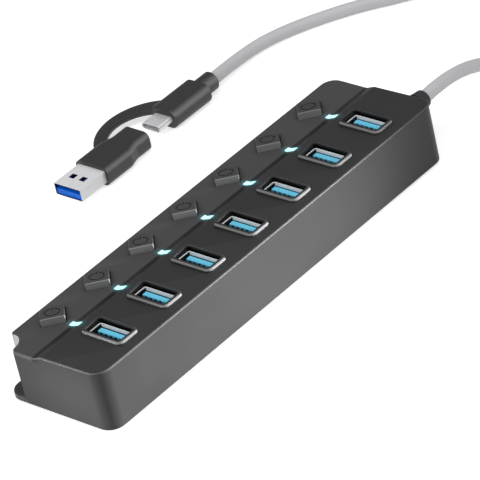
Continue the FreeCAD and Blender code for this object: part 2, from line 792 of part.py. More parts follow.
def lip_outline(inset):
    """Plan of the inner lip, a named distance inside the casing's outline."""
    wide = half_width - inset
    long = half_length - inset
    bevel = corner_round - inset * (2 - DIAGONAL)
    leg = corner_cut - inset * (2 - DIAGONAL)
    return [
        (leg - wide, -long),
        (wide - bevel, -long),
        (wide, bevel - long),
        (wide, long - bevel),
        (wide - bevel, long),
        (bevel - wide, long),
        (-wide, long - bevel),
        (-wide, leg - long),
    ]


def add_lip(body):
    """Upstand that closes the seam from inside and centres the top shell."""
    sketch = sketch_on(body, "LipPlan", height=foot_proud + base_thick / 2)
    outer = wall + fit_gap
    draw_polygon(sketch, lip_outline(outer), "outer")
    draw_polygon(sketch, lip_outline(outer + lip_thick), "inner")
    pad(body, "Lip", sketch, base_thick / 2 + lip_rise)


def add_posts(body):
    posts = sketch_on(body, "PostPlan", height=foot_proud + base_thick / 2)
    for index, (x, y) in enumerate(post_places()):
        draw_circle(posts, x, y, post_radius, "post_%d" % (index + 1))
    pad(body, "Posts", posts, base_thick / 2 + board_lift)
    shanks = sketch_on(body, "ShankHoles", height=foot_proud)
    heads = sketch_on(body, "HeadSeats", height=foot_proud)
    seats = sketch_on(body, "FootSeats", height=foot_proud)
    for index, (x, y) in enumerate(post_places()):
        draw_circle(shanks, x, y, screw_radius + fit_gap, "shank_%d" % (index + 1))
        draw_circle(heads, x, y, screw_head + fit_gap, "head_%d" % (index + 1))
    for index, (x, y) in enumerate(foot_places()):
        draw_circle(seats, x, y, foot_radius + fit_gap, "seat_%d" % (index + 1))
    pocket(body, "Shanks", shanks, base_thick + board_lift, upwards=True)
    pocket(body, "Heads", heads, screw_head_tall + fit_gap, upwards=True)
    pocket(body, "Seats", seats, foot_seat, upwards=True)


def foot_places():
    x = half_width - foot_inset_x
    y = half_length - foot_inset_y
    return [(-x, -y), (x, -y), (x, y), (-x, y)]


def make_feet():
    feet = []
    for index, (x, y) in enumerate(foot_places()):
        feet.append(rod("Foot%d" % (index + 1), x, y, ZERO, foot_radius, foot_proud + foot_seat))
    return keep(group("feet", feet), "feet")


def make_screws():
    screws = []
    for index, (x, y) in enumerate(post_places()):
        number = index + 1
        head_z = foot_proud + fit_gap
        head = rod("ScrewHead%d" % number, x, y, head_z, screw_head, screw_head_tall)
        shank = rod("ScrewShank%d" % number, x, y, head_z, screw_radius, screw_end - head_z)
        screw = doc.addObject("Part::Fuse", "Screw%d" % number)
        screw.Base = head
        screw.Tool = shank
        screws.append(screw)
    return keep(group("screws", screws), "screws")


# ---------------------------------------------------------------- board and works

def make_board():
    body = body_at("pcb")
    inset = wall + board_gap
    sketch = sketch_on(body, "BoardPlan", height=board_bottom)
    draw_polygon(sketch, lip_outline(inset))
    pad(body, "Board", sketch, board_thick)
    holes = sketch_on(body, "BoardHoles", height=board_bottom)
    for index, (x, y) in enumerate(post_places()):
        draw_circle(holes, x, y, screw_radius + fit_gap, "hole_%d" % (index + 1))
    pocket(body, "Holes", holes, board_thick, upwards=True)
    return keep(body, "pcb")


def make_port_shell(index):
    label = "port_shell_%d" % (index + 1)
    body = body_at(label, port_x, row_y(index), board_top)
    outside = sketch_on(body, "Outside")
    draw_rectangle(outside, ZERO, ZERO, socket_wide, socket_deep)
    pad(body, "Tube", outside, socket_tall)
    fillet(body, "Corners", socket_round, lambda p: near(abs(p.x), socket_wide.value / 2)
           and near(abs(p.y), socket_deep.value / 2))
    inside = sketch_on(body, "Inside")
    sheet_pair = 2 * socket_wall
    draw_rectangle(inside, ZERO, ZERO, socket_wide - sheet_pair, socket_deep - sheet_pair)
    pocket(body, "Bore", inside, socket_tall, upwards=True)
    half_wide = (socket_wide / 2 - socket_wall).value
    half_deep = (socket_deep / 2 - socket_wall).value
    fillet(body, "InnerCorners", socket_round - socket_wall, lambda p: near(abs(p.x), half_wide)
           and near(abs(p.y), half_deep))
    return keep(body, label)


def tongue_middle():
    """Y of the tongue's middle in its socket."""
    return socket_deep / 2 - socket_wall - tongue_gap - tongue_thick / 2


def make_port_tongue(index):
    label = "port_tongue_%d" % (index + 1)
    body = body_at(label, port_x, row_y(index), board_top)
    tip = socket_tall - tongue_drop
    slack = 2 * (socket_wall + fit_gap)
    foot = sketch_on(body, "Foot")
    draw_rectangle(foot, ZERO, ZERO, socket_wide - slack, socket_deep - slack)
    pad(body, "Block", foot, tip - tongue_length)
    blade = sketch_on(body, "Blade")
    draw_rectangle(blade, ZERO, tongue_middle(), tongue_wide, tongue_thick)
    pad(body, "Tongue", blade, tip)
    chamfer(body, "TongueTip", contact_thick * 2, lambda p: near(p.z, tip.value))
    return keep(body, label)


def make_port_contacts():
    """Four long contacts on each tongue, and five short ones between them at its tip."""
    strips = []
    face_y = tongue_middle() - tongue_thick / 2 - contact_thick / 2
    tip = socket_top - tongue_drop - contact_thick * 3
    for index in range(port_count):
        y = row_y(index) + face_y
        for number in range(4):
            x = port_x + long_pitch * (number - 1.5)
            strips.append(contact_strip("Long", index, number, x, y, tip - long_behind, long_contact))
        for number in range(5):
            x = port_x + short_pitch * (number - 2)
            strips.append(contact_strip("Short", index, number, x, y, tip, short_contact))
    return keep(group("port_contacts", strips), "port_contacts")


def contact_strip(kind, index, number, x, y, top, length):
    name = "%sContact%d_%d" % (kind, index + 1, number + 1)
    return block(name, x, y, top - length, contact_wide, contact_thick, length)


def make_button(index):
    """Wedge cap, retaining flange and stem, drawn square and then turned 45 degrees."""
    label = "button_%d" % (index + 1)
    turn = Rotation(Vector(0, 0, 1), 45)
    body = body_at("ButtonSolid%d" % (index + 1), button_x, row_y(index), low_top, turn)
    half = button_side / 2
    flange_top = -wall - flange_gap
    profile = sketch_on(body, "CapProfile", "YZ_Plane")
    draw_polygon(profile, [
        (-half, flange_top - flange_thick / 2),
        (half, flange_top - flange_thick / 2),
        (half, button_low),
        (-half, button_high),
    ])
    pad(body, "Cap", profile, button_side, symmetric=True)
    fillet(body, "CapCorners", button_edge, lambda p: near(abs(p.x), half.value) and near(abs(p.y), half.value))
    fillet(body, "CapRim", button_edge, lambda p: p.z > button_low.value - 0.1)
    flange = sketch_on(body, "FlangePlan", height=flange_top)
    across = flange_wide / 2
    along = flange_long / 2
    draw_polygon(flange, [unturned(x, y) for x, y in (
        (-across, -along), (across, -along), (across, along), (-across, along))])
    pad(body, "Flange", flange, flange_thick, reverse=True)
    stem = sketch_on(body, "StemPlan", height=flange_top)
    draw_rectangle(stem, ZERO, ZERO, stem_side, stem_side)
    stem_bottom = board_top + switch_tall - stem_reach - low_top
    pad(body, "Stem", stem, flange_top - stem_bottom, reverse=True)
    return keep(engrave(body, index), label)


def unturned(x, y):
    """Plan point along the hub's axes, in the frame of a piece turned 45 degrees."""
    return (x + y) / DIAGONAL, (y - x) / DIAGONAL


def engrave(cap, index):
    """Cut the open ring and bar of a power symbol into the sloping top."""
    number = index + 1
    slope = math.degrees(math.atan2(button_high.value - button_low.value, button_side.value))
    turn = Rotation(Vector(0, 0, 1), 45) * Rotation(Vector(1, 0, 0), -slope)
    middle_z = low_top + (button_low + button_high) / 2 - symbol_depth
    x = button_x
    y = row_y(index)
    outer = rod("RingOuter%d" % number, x, y, middle_z, symbol_ring, wall, turn)
    inner = rod("RingInner%d" % number, x, y, middle_z, symbol_ring - symbol_line, wall, turn)
    ring = cut("Ring%d" % number, outer, inner)
    gap = symbol_block("RingGap%d" % number, index, turn, symbol_gap)
    bar = symbol_block("Bar%d" % number, index, turn, symbol_line)
    open_ring = cut("OpenRing%d" % number, ring, gap)
    symbol = group("Symbol%d" % number, [open_ring, bar])
    return cut("Button%d" % number, cap, symbol)


def symbol_block(name, index, turn, wide):
    """Upright block over the power symbol's bar, which runs away from the middle of the ring."""
    box = doc.addObject("Part::Box", name)
    bind(box, "Length", wide)
    bind(box, "Width", symbol_bar)
    box.Height = wall.value
    corner = turn.multVec(Vector(-wide.value / 2, symbol_start.value, 0))
    middle_z = low_top + (button_low + button_high) / 2 - symbol_depth
    base = Vector(button_x.value, row_y(index).value, middle_z.value) + corner
    box.Placement = Placement(base, turn)
    return box


def make_switches():
    bodies = []
    well = stem_side + 2 * stem_gap
    depth = stem_reach + button_travel + stem_gap * 2
    top = board_top + switch_tall
    for index in range(port_count):
        number = index + 1
        y = row_y(index)
        case = block("SwitchCase%d" % number, button_x, y, board_top, switch_side, switch_side, switch_tall)
        hole = doc.addObject("Part::Box", "SwitchWell%d" % number)
        bind(hole, "Length", well)
        bind(hole, "Width", well)
        bind(hole, "Height", depth)
        place(hole, button_x, y - well / DIAGONAL, top - depth, INWARDS)
        bodies.append(cut("Switch%d" % number, case, hole))
    return keep(group("switches", bodies), "switches")


def make_light_pipe(index):
    """Clear bar over an indicator, whose top follows the panel and the step."""
    label = "light_pipe_%d" % (index + 1)
    body = body_at(label, light_x, row_y(index), board_top + led_tall + fit_gap)
    half = light_wide / 2
    floor = board_top + led_tall + fit_gap
    low_level = low_top + light_proud - floor
    climb = (high_top - low_top) * ((half + step_before) / step_run)
    profile = sketch_on(body, "PipeProfile", "XZ_Plane")
    draw_polygon(profile, [
        (-half, ZERO),
        (half, ZERO),
        (half, low_level + climb),
        (-step_before, low_level),
        (-half, low_level),
    ])
    pad(body, "Pipe", profile, light_deep, symmetric=True)
    return keep(body, label)


def make_indicator_leds():
    chips = []
    for index in range(port_count):
        name = "IndicatorLed%d" % (index + 1)
        chips.append(block(name, light_x, row_y(index), board_top, led_wide, led_deep, led_tall))
    return keep(group("indicator_leds", chips), "indicator_leds")


def make_hub_chips():
    x = light_x + chip_side
    chips = []
    for index in (1, 4):
        y = row_y(index) + port_pitch / 2
        chips.append(block("HubChip%d" % index, x, y, board_top, chip_side, chip_side, chip_tall))
    return keep(group("hub_chips", chips), "hub_chips")


def make_crystal():
    x = light_x + chip_side
    case = block("Crystal", x, port_pitch / 2, board_top, chip_side / 2, chip_side / 4, chip_tall)
    return keep(case, "crystal")


def make_capacitors():
    y = first_port_y + port_pitch / 2
    x = port_x + can_radius * 3
    cans = [
        rod("CanA", x, y, board_top, can_radius, can_tall),
        rod("CanB", x, y + port_pitch, board_top, can_radius, can_tall),
        rod("CanC", x, -y, board_top, can_radius, can_tall),
    ]
    return keep(group("capacitors", cans), "capacitors")


def jack_turn():
    """Turns +Z to the direction that runs into the casing through the cut corner."""
    return Rotation(Vector(0, 0, 1), Vector(1, 1, 0))


def make_jack():
    """Block on the board with a round nose that shows at the scoop's floor."""
    turn = jack_turn()
    face_x, face_y = diagonal_point(scoop_depth, ZERO)
    back = scoop_wall + fit_gap
    nose = rod("JackNose", face_x, face_y, jack_z, jack_nose, back + jack_nose, turn)
    block_x, block_y = diagonal_point(scoop_depth + back, jack_wide / 2)
    case = doc.addObject("Part::Box", "JackCase")
    bind(case, "Length", jack_length)
    bind(case, "Width", jack_wide)
    bind(case, "Height", jack_z + jack_above - board_top)
    place(case, block_x, block_y, board_top, INWARDS)
    solid = doc.addObject("Part::Fuse", "JackSolid")
    solid.Base = nose
    solid.Tool = case
    bore = rod("JackBore", face_x, face_y, jack_z, jack_hole, jack_bore_deep, turn)
    jack = keep(cut("JackBody", solid, bore), "dc_jack_body")
    pin_x, pin_y = diagonal_point(scoop_depth + pin_back, ZERO)
    pin = rod("JackPin", pin_x, pin_y, jack_z, jack_pin, jack_bore_deep - pin_back, turn)
    keep(pin, "dc_jack_pin")
    return jack


# ---------------------------------------------------------------- cable

def revolve_about_y(label, x, y, z, steps):
    """Turned piece with its axis along Y, from (distance, radius) steps."""
    body = body_at(label, x, y, z)
    sketch = sketch_on(body, "HalfSection", "XY_Plane")
    points = [(ZERO, steps[0][0])]
    points += [(radius, distance) for distance, radius in steps]
    points += [(ZERO, steps[-1][0])]
    draw_polygon(sketch, points)
    feature = body.newObject("PartDesign::Revolution", "Turned")
    feature.Profile = sketch
    feature.ReferenceAxis = (origin_piece(body, "Y_Axis"), [""])
    feature.Angle = 360
    doc.recompute()
    return body


def make_cable_boot():
    wall_in = -wall - fit_gap
    body = revolve_about_y("cable_boot", boot_x, half_length, boot_z, [
        (wall_in - boot_flange_thick, boot_flange),
        (wall_in, boot_flange),
        (wall_in, boot_neck),
        (fit_gap, boot_neck),
        (fit_gap, boot_root),
        (boot_length * 0.3, boot_root),
        (boot_length * 0.3, boot_root - fit_gap * 3),
        (boot_length * 0.45, boot_root - fit_gap * 3),
        (boot_length * 0.45, boot_root - fit_gap),
        (boot_length, boot_tip),
    ])
    return keep(body, "cable_boot")


def tail_start():
    """Y of the boot's inner face, where the cable enters the casing."""
    return half_length - wall - fit_gap - boot_flange_thick


def make_cable_tail():
    """Inside the casing the cable runs straight from the boot into its connector."""
    start = tail_start() - tail_length
    tail = rod("CableTail", boot_x, start, boot_z, cable_round / 2 - fit_gap, tail_length, ALONG_Y)
    return keep(tail, "cable_tail")


def make_cable_header():
    middle = tail_start() - tail_length - header_deep / 2
    tall = boot_z + cable_round / 2 - board_top
    header = block("CableHeader", boot_x, middle, board_top, header_wide, header_deep, tall)
    return keep(header, "cable_header")


def arc_route(points):
    """Straight runs with tangent arcs, each as large as its two runs allow."""
    edges = []
    radii = []
    at = points[0]
    for before, corner, after in zip(points, points[1:], points[2:]):
        first = corner - before
        second = after - corner
        turn = first.getAngle(second)
        trim = 0.45 * min(first.Length, second.Length)
        radius = trim / math.tan(turn / 2)
        towards = Vector(first).normalize()
        away = Vector(second).normalize()
        start = corner - towards * trim
        end = corner + away * trim
        inward = (away - towards).normalize()
        reach = radius / math.cos(turn / 2) - radius
        edges.append(Part.LineSegment(at, start).toShape())
        edges.append(Part.Arc(start, corner + inward * reach, end).toShape())
        radii.append(radius)
        at = end
    edges.append(Part.LineSegment(at, points[-1]).toShape())
    return Part.Wire(edges), radii


def round_tube(points, radius):
    """Round tube along a route, checked against its section times its length."""
    path, radii = arc_route(points)
    direction = (points[1] - points[0]).normalize()
    ring = Part.Wire([Part.Circle(points[0], direction, radius).toShape()])
    tube = path.makePipeShell([ring], True, False)
    expected = math.pi * radius ** 2 * path.Length
    print("tube: length %.1f, arc radii %s" % (path.Length, ", ".join("%.0f" % r for r in radii)))
    if not near(tube.Volume / expected, 1, 0.01):
        raise RuntimeError("tube volume %.1f, expected %.1f" % (tube.Volume, expected))
    return tube


def hub_run_points():
    """From the boot at the casing to the bottom turn of the coil, in order."""
    rest = cable_round.value / 2
    start_x = boot_x.value
    start_y = (half_length + boot_length).value
    entry_x = (coil_x + coil_middle + cable_round / 2).value
    entry_y = coil_y.value
    return [
        Vector(start_x, start_y, boot_z.value),
        Vector(start_x - 1.9, start_y + 18, boot_z.value - 0.2),
        Vector(start_x - 2.2, start_y + 42, rest + 2.9),
        Vector(start_x - 0.6, start_y + 72, rest),
        Vector(entry_x, entry_y - 17, rest),
        Vector(entry_x, entry_y, rest),
    ]


def plug_run_points():
    """From the top turn of the coil back to the boot of the USB-C plug, in order."""
    rest = cable_round.value / 2
    rise = (cable_round * nest).value
    exit_x = (coil_x - coil_middle).value
    exit_y = coil_y.value
    end_x = plug_x.value
    end_y = (grip_y + grip_length + plug_boot_length).value
    return [
        Vector(exit_x, exit_y, rest + rise),
        Vector(exit_x - 0.6, exit_y - 11, rest + rise + 1.2),
        Vector(exit_x - 4.9, exit_y - 24, rest + 2.7),
        Vector(exit_x - 14.4, exit_y - 39, rest),
        Vector(end_x + 14, end_y + 58, rest),
        Vector(end_x + 0.5, end_y + 34, rest),
        Vector(end_x - 1.7, end_y + 16, rest + 0.5),
        Vector(end_x, end_y, plug_z.value),
    ]


def make_cable_runs():
    radius = cable_round.value / 2
    hub_run = doc.addObject("Part::Feature", "CableHubRun")
    hub_run.Shape = round_tube(hub_run_points(), radius)
    keep(hub_run, "cable_hub_run")
    plug_run = doc.addObject("Part::Feature", "CablePlugRun")
    plug_run.Shape = round_tube(plug_run_points(), radius)
    keep(plug_run, "cable_plug_run")


def ring_section(inner, outer, bottom, top):
    """Closed section of a ring, in the XZ plane."""
    return [(inner, bottom), (outer, bottom), (outer, top), (inner, top)]


def make_cable_coil():
    """Outer shape of the coil: two turns side by side, and the last half turn on top."""
    body = body_at("cable_coil", coil_x, coil_y)
    bottom_turns = sketch_on(body, "BottomTurns", "XZ_Plane")
    inner = coil_middle - cable_round
    outer = coil_middle + cable_round
    draw_polygon(bottom_turns, ring_section(inner, outer, ZERO, cable_round))
    ring = body.newObject("PartDesign::Revolution", "Ring")
    ring.Profile = bottom_turns
    ring.ReferenceAxis = (origin_piece(body, "Z_Axis"), [""])
    ring.Angle = 360
    doc.recompute()
    half = cable_round / 2
    top_turn = sketch_on(body, "TopTurn", "XZ_Plane")
    draw_polygon(top_turn, ring_section(coil_middle - half, coil_middle + half, half, cable_round * (1 + nest)))
    ridge = body.newObject("PartDesign::Revolution", "TopHalfTurn")
    ridge.Profile = top_turn
    ridge.ReferenceAxis = (origin_piece(body, "Z_Axis"), [""])
    ridge.Angle = 180
    doc.recompute()
    if ridge.Shape.Volume <= ring.Shape.Volume:
        raise RuntimeError("the top turn adds nothing")
    return keep(body, "cable_coil")


def make_cable_tie():
    """Band over the coil at its far side, open at the bottom, where the coil rests."""
    middle_y = coil_y + coil_middle
    tall = cable_round * (1 + nest) + fit_gap
    across = 2 * (cable_round + tie_gap)
    outer = block("TieOuter", coil_x, middle_y, ZERO, tie_wide, across + 2 * tie_thick, tall + tie_thick)
    inner = block("TieInner", coil_x, middle_y, -tie_thick, 2 * tie_wide, across, tall + tie_thick)
    return keep(cut("CableTie", outer, inner), "cable_tie")


# ---------------------------------------------------------------- plugs and strap

def lengthwise_prism(label, y, wide, tall, length, radius=None):
    """Bar along +Y about the plugs' axis, with its long edges rounded if a radius is given."""
    body = body_at(label, plug_x, y, plug_z)
    sketch = sketch_on(body, "Section", "XZ_Plane")
    draw_rectangle(sketch, ZERO, ZERO, wide, tall)
    pad(body, "Bar", sketch, length, reverse=True)
    if radius is not None:
        half_wide = wide.value / 2
        half_tall = tall.value / 2
        fillet(body, "LongEdges", radius, lambda p: near(abs(p.x), half_wide) and near(abs(p.z), half_tall))
    return body


def bore_out(body, name, wide, tall, length, start=None, rounded=False):
    """Lengthwise hollow from the near end of a bar, or from a named distance along it."""
    offset = -start if start is not None else None
    sketch = sketch_on(body, name + "Section", "XZ_Plane", height=offset)
    if rounded:
        draw_slot(sketch, wide, tall)
    else:
        draw_rectangle(sketch, ZERO, ZERO, wide, tall)
    return pocket(body, name, sketch, length)


def draw_slot(sketch, wide, tall):
    """Upright-ended slot shape of a USB-C shell: two flats and two half circles."""
    reach = ((wide - tall) / 2).value
    radius = tall.value / 2
    top = Part.LineSegment(Vector(-reach, radius, 0), Vector(reach, radius, 0))
    bottom = Part.LineSegment(Vector(reach, -radius, 0), Vector(-reach, -radius, 0))
    axis = Vector(0, 0, 1)
    right = Part.ArcOfCircle(Part.Circle(Vector(reach, 0, 0), axis, radius), -math.pi / 2, math.pi / 2)
    left = Part.ArcOfCircle(Part.Circle(Vector(-reach, 0, 0), axis, radius), math.pi / 2, 3 * math.pi / 2)
    first = sketch.GeometryCount
    sketch.addGeometry([top, right, bottom, left], False)
    top_line, right_arc, bottom_line, left_arc = range(first, first + 4)
    sketch.addConstraint([
        Sketcher.Constraint("Tangent", top_line, 2, right_arc, 2),
        Sketcher.Constraint("Tangent", bottom_line, 1, right_arc, 1),
        Sketcher.Constraint("Tangent", bottom_line, 2, left_arc, 2),
        Sketcher.Constraint("Tangent", top_line, 1, left_arc, 1),
        Sketcher.Constraint("Equal", left_arc, right_arc),
        Sketcher.Constraint("PointOnObject", right_arc, 3, -1),
        Sketcher.Constraint("Symmetric", left_arc, 3, right_arc, 3, -1, 1),
    ])
    sketch.addConstraint(Sketcher.Constraint("Radius", right_arc, radius))
    sketch.renameConstraint(sketch.ConstraintCount - 1, "end_radius")
    sketch.setExpression("Constraints.end_radius", (tall / 2).text)
    sketch.addConstraint(Sketcher.Constraint("DistanceX", -1, 1, right_arc, 3, reach))
    sketch.renameConstraint(sketch.ConstraintCount - 1, "reach")
    sketch.setExpression("Constraints.reach", ((wide - tall) / 2).text)
    return sketch


def slot_bar(label, y, wide, tall, length):
    """Bar along +Y with the section of a USB-C shell."""
    body = body_at(label, plug_x, y, plug_z)
    sketch = sketch_on(body, "Section", "XZ_Plane")
    draw_slot(sketch, wide, tall)
    pad(body, "Bar", sketch, length, reverse=True)
    return body


def make_type_c_plug():
    grip = lengthwise_prism("type_c_grip", grip_y, grip_wide, grip_tall, grip_length, grip_round)
    bore_out(grip, "ShellSeat", type_c_wide, type_c_tall, type_c_root, rounded=True)
    ends = (0, grip_length.value)
    fillet(grip, "EndRounds", edge_round, lambda p: any(near(p.y, end) for end in ends)
           and outside_slot(p, type_c_wide, type_c_tall))
    keep(grip, "type_c_grip")
    boot = revolve_about_y("type_c_boot", plug_x, grip_y + grip_length, plug_z, [
        (ZERO, plug_boot_radius),
        (plug_boot_length - edge_round, plug_boot_tip + edge_round),
        (plug_boot_length, plug_boot_tip),
    ])
    keep(boot, "type_c_boot")
    tip = grip_y - type_c_length
    length = type_c_length + type_c_root
    shell = slot_bar("type_c_shell", tip, type_c_wide, type_c_tall, length)
    sheet_pair = 2 * type_c_wall
    bore_out(shell, "Bore", type_c_wide - sheet_pair, type_c_tall - sheet_pair, length, rounded=True)
    keep(shell, "type_c_shell")
    wide = type_c_wide - sheet_pair
    tall = type_c_tall - sheet_pair
    fill = slot_bar("type_c_insulator", tip + type_c_fill, wide, tall, length - type_c_fill)
    keep(fill, "type_c_insulator")


def outside_slot(point, wide, tall):
    """Whether a point of a plug's end face lies outside the hollow in its middle."""
    return abs(point.x) > wide.value / 2 + 0.05 or abs(point.z) > tall.value / 2 + 0.05


def adapter_lengths():
    """Distances of the adapter body's outline from its front face."""
    shoulder = adapter_front_length
    neck = shoulder + adapter_taper
    back = neck + adapter_back_length
    return shoulder, neck, back


def make_adapter():
    shoulder, neck, back = adapter_lengths()
    front_y = grip_y - adapter_gap - back
    body = body_at("adapter_body", plug_x, front_y, plug_z)
    plan = sketch_on(body, "Plan", height=-grip_tall / 2)
    front = adapter_front / 2
    rear = adapter_back / 2
    draw_polygon(plan, [
        (-front, ZERO), (front, ZERO), (front, shoulder), (rear, neck),
        (rear, back), (-rear, back), (-rear, neck), (-front, shoulder),
    ])
    pad(body, "Block", plan, grip_tall)
    bends = (shoulder.value, neck.value)
    fillet(body, "Waist", adapter_bend, lambda p: any(near(p.y, bend) for bend in bends)
           and abs(p.x) > rear.value - 0.1)
    half_tall = (grip_tall / 2).value
    fillet(body, "LongEdges", adapter_round, lambda p: near(abs(p.z), half_tall)
           and 0.1 < p.y < back.value - 0.1 or near(abs(p.z), half_tall) and abs(p.x) > rear.value - 0.1)
    bore_out(body, "ShellSeat", type_a_wide, type_a_tall, type_a_root)
    sheet_pair = 2 * socket_c_sheet
    outer_wide = socket_c_wide + sheet_pair
    outer_tall = socket_c_tall + sheet_pair
    depth = socket_c_deep + socket_c_sheet
    bore_out(body, "SocketSeat", outer_wide, outer_tall, depth, start=back - depth, rounded=True)
    keep(body, "adapter_body")
    make_adapter_socket(front_y + back, outer_wide, outer_tall)
    make_adapter_plug(front_y)


def make_adapter_socket(mouth_y, outer_wide, outer_tall):
    """USB-C socket in the adapter's back: a deep metal cup and its tongue."""
    depth = socket_c_deep + socket_c_sheet
    cup = slot_bar("adapter_socket", mouth_y - depth, outer_wide, outer_tall, depth)
    bore_out(cup, "Bore", socket_c_wide, socket_c_tall, socket_c_deep, start=socket_c_sheet, rounded=True)
    keep(cup, "adapter_socket")
    length = socket_c_deep - socket_c_tongue_back
    floor_y = mouth_y - socket_c_deep
    tongue = lengthwise_prism(
        "adapter_socket_tongue", floor_y, socket_c_tongue_wide, socket_c_tongue_tall, length)
    keep(tongue, "adapter_socket_tongue")


def make_adapter_plug(front_y):
    """USB-A plug: a folded metal shell with two windows, and the blue tongue in its lower half."""
    tip_y = front_y - type_a_length
    length = type_a_length + type_a_root
    shell = lengthwise_prism("adapter_shell", tip_y, type_a_wide, type_a_tall, length, type_a_wall)
    sheet_pair = 2 * type_a_wall
    bore_out(shell, "Bore", type_a_wide - sheet_pair, type_a_tall - sheet_pair, length)
    windows = sketch_on(shell, "Windows", height=type_a_tall)
    for number, side in enumerate((-1, 1)):
        x = window_pitch / 2 * side
        draw_rectangle(windows, x, window_back + window_side / 2, window_side, window_side, "w%d" % number)
    pocket(shell, "WindowPair", windows, type_a_tall)
    keep(shell, "adapter_shell")
    inside_tall = type_a_tall - sheet_pair
    wide = type_a_wide - sheet_pair
    low = (type_a_tongue - inside_tall) / 2
    tongue = body_at("adapter_tongue", plug_x, tip_y + type_a_back, plug_z + low)
    section = sketch_on(tongue, "Section", "XZ_Plane")
    draw_rectangle(section, ZERO, ZERO, wide, type_a_tongue)
    pad(tongue, "Bar", section, length - type_a_back, reverse=True)
    keep(tongue, "adapter_tongue")
    top = plug_z + low + type_a_tongue / 2
    pads = []
    for number in range(4):
        x = plug_x + plug_pad_pitch * (number - 1.5)
        y = tip_y + type_a_length / 2
        pads.append(block("PlugPad%d" % number, x, y, top, plug_pad, plug_pad_length, contact_thick))
    keep(group("adapter_contacts", pads), "adapter_contacts")


def make_strap():
    """Flat bowed band from the adapter's side to the grip's side, wider at both roots."""
    bottom = plug_z - strap_thick / 2
    outer_x = plug_x - strap_out + strap_outer
    inner_x = plug_x - strap_out + strap_wide + strap_inner
    outer_y = grip_y - strap_outer_back
    inner_y = grip_y - strap_inner_back
    outer = rod("StrapOuter", outer_x, outer_y, bottom, strap_outer, strap_thick)
    inner = rod("StrapInner", inner_x, inner_y, bottom, strap_inner, strap_thick)
    ring = cut("StrapRing", outer, inner)
    shoulder, neck, back = adapter_lengths()
    front_y = -adapter_gap - back
    reach = strap_out + strap_wide
    wide_side = -adapter_front / 2 - strap_clear
    narrow_side = -adapter_back / 2 - strap_clear
    grip_side = -grip_wide / 2
    side = body_at("StrapSide", plug_x, grip_y, bottom)
    plan = sketch_on(side, "StrapSidePlan")
    draw_polygon(plan, [
        (-reach, front_y), (wide_side, front_y), (wide_side, front_y + shoulder),
        (narrow_side, front_y + neck), (narrow_side, -adapter_gap / 2),
        (grip_side, -adapter_gap / 2), (grip_side, reach), (-reach, reach),
    ])
    pad(side, "StrapSidePad", plan, strap_thick)
    strap = doc.addObject("Part::Common", "StrapBand")
    strap.Base = ring
    strap.Tool = side
    return keep(strap, "strap")


# ---------------------------------------------------------------- build and write

def build():
    make_top_shell()
    make_base_plate()
    make_feet()
    make_screws()
    make_board()
    for index in range(port_count):
        make_port_shell(index)
        make_port_tongue(index)
        make_button(index)
        make_light_pipe(index)
    make_port_contacts()
    make_switches()
    make_indicator_leds()
    make_hub_chips()
    make_crystal()
    make_capacitors()
    make_jack()
    make_cable_boot()
    make_cable_tail()
    make_cable_header()
    make_cable_runs()
    make_cable_coil()
    make_cable_tie()
    make_type_c_plug()
    make_adapter()
    make_strap()
    doc.recompute()


def check_and_write():
    for obj in doc.Objects:
        if "Invalid" in obj.State or "Error" in obj.State:
            raise RuntimeError("%s (%s) failed: %s" % (obj.Name, obj.Label, obj.State))
    for obj in sub_parts:
        if obj.Shape.isNull() or not obj.Shape.isValid() or not obj.Shape.Solids:
            raise RuntimeError("%s has no valid shape" % obj.Label)
    os.makedirs("parts", exist_ok=True)
    for obj in sub_parts:
        obj.Shape.exportStep("parts/%s.step" % obj.Label)
        box = obj.Shape.BoundBox
        print("%-24s solids %2d volume %9.1f  x %7.2f %7.2f  y %7.2f %7.2f  z %6.2f %6.2f" % (
            obj.Label, len(obj.Shape.Solids), obj.Shape.Volume,
            box.XMin, box.XMax, box.YMin, box.YMax, box.ZMin, box.ZMax))
    print("%d sub-parts" % len(sub_parts))


build()
check_and_write()
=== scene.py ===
"""Studio scene of a seven-port USB hub with a captive cable, a USB-C plug and a tethered adapter.

Metres, in the frame of the CAD model: +X across the hub to the ports, +Y along it to the cable, +Z up.
"""

import math

import bmesh
import bpy
from mathutils import Matrix, Vector


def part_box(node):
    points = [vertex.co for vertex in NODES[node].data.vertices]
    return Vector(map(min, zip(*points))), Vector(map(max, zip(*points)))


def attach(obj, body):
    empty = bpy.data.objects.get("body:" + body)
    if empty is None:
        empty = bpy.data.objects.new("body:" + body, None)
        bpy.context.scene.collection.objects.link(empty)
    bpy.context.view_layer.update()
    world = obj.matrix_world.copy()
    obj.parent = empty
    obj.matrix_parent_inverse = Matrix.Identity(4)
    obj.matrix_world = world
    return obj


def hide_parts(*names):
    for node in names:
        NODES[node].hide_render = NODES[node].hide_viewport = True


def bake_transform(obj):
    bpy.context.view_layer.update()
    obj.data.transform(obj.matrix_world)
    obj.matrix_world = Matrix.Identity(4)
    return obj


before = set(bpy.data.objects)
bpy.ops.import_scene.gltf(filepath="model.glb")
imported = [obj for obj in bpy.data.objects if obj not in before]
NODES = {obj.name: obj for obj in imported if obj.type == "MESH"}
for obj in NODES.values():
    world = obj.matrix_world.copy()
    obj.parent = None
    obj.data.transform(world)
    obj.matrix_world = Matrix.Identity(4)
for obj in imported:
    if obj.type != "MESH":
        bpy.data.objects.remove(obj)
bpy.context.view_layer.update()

MM = 0.001
PORTS = range(1, 8)
scene = bpy.context.scene


# ---------------------------------------------------------------- materials

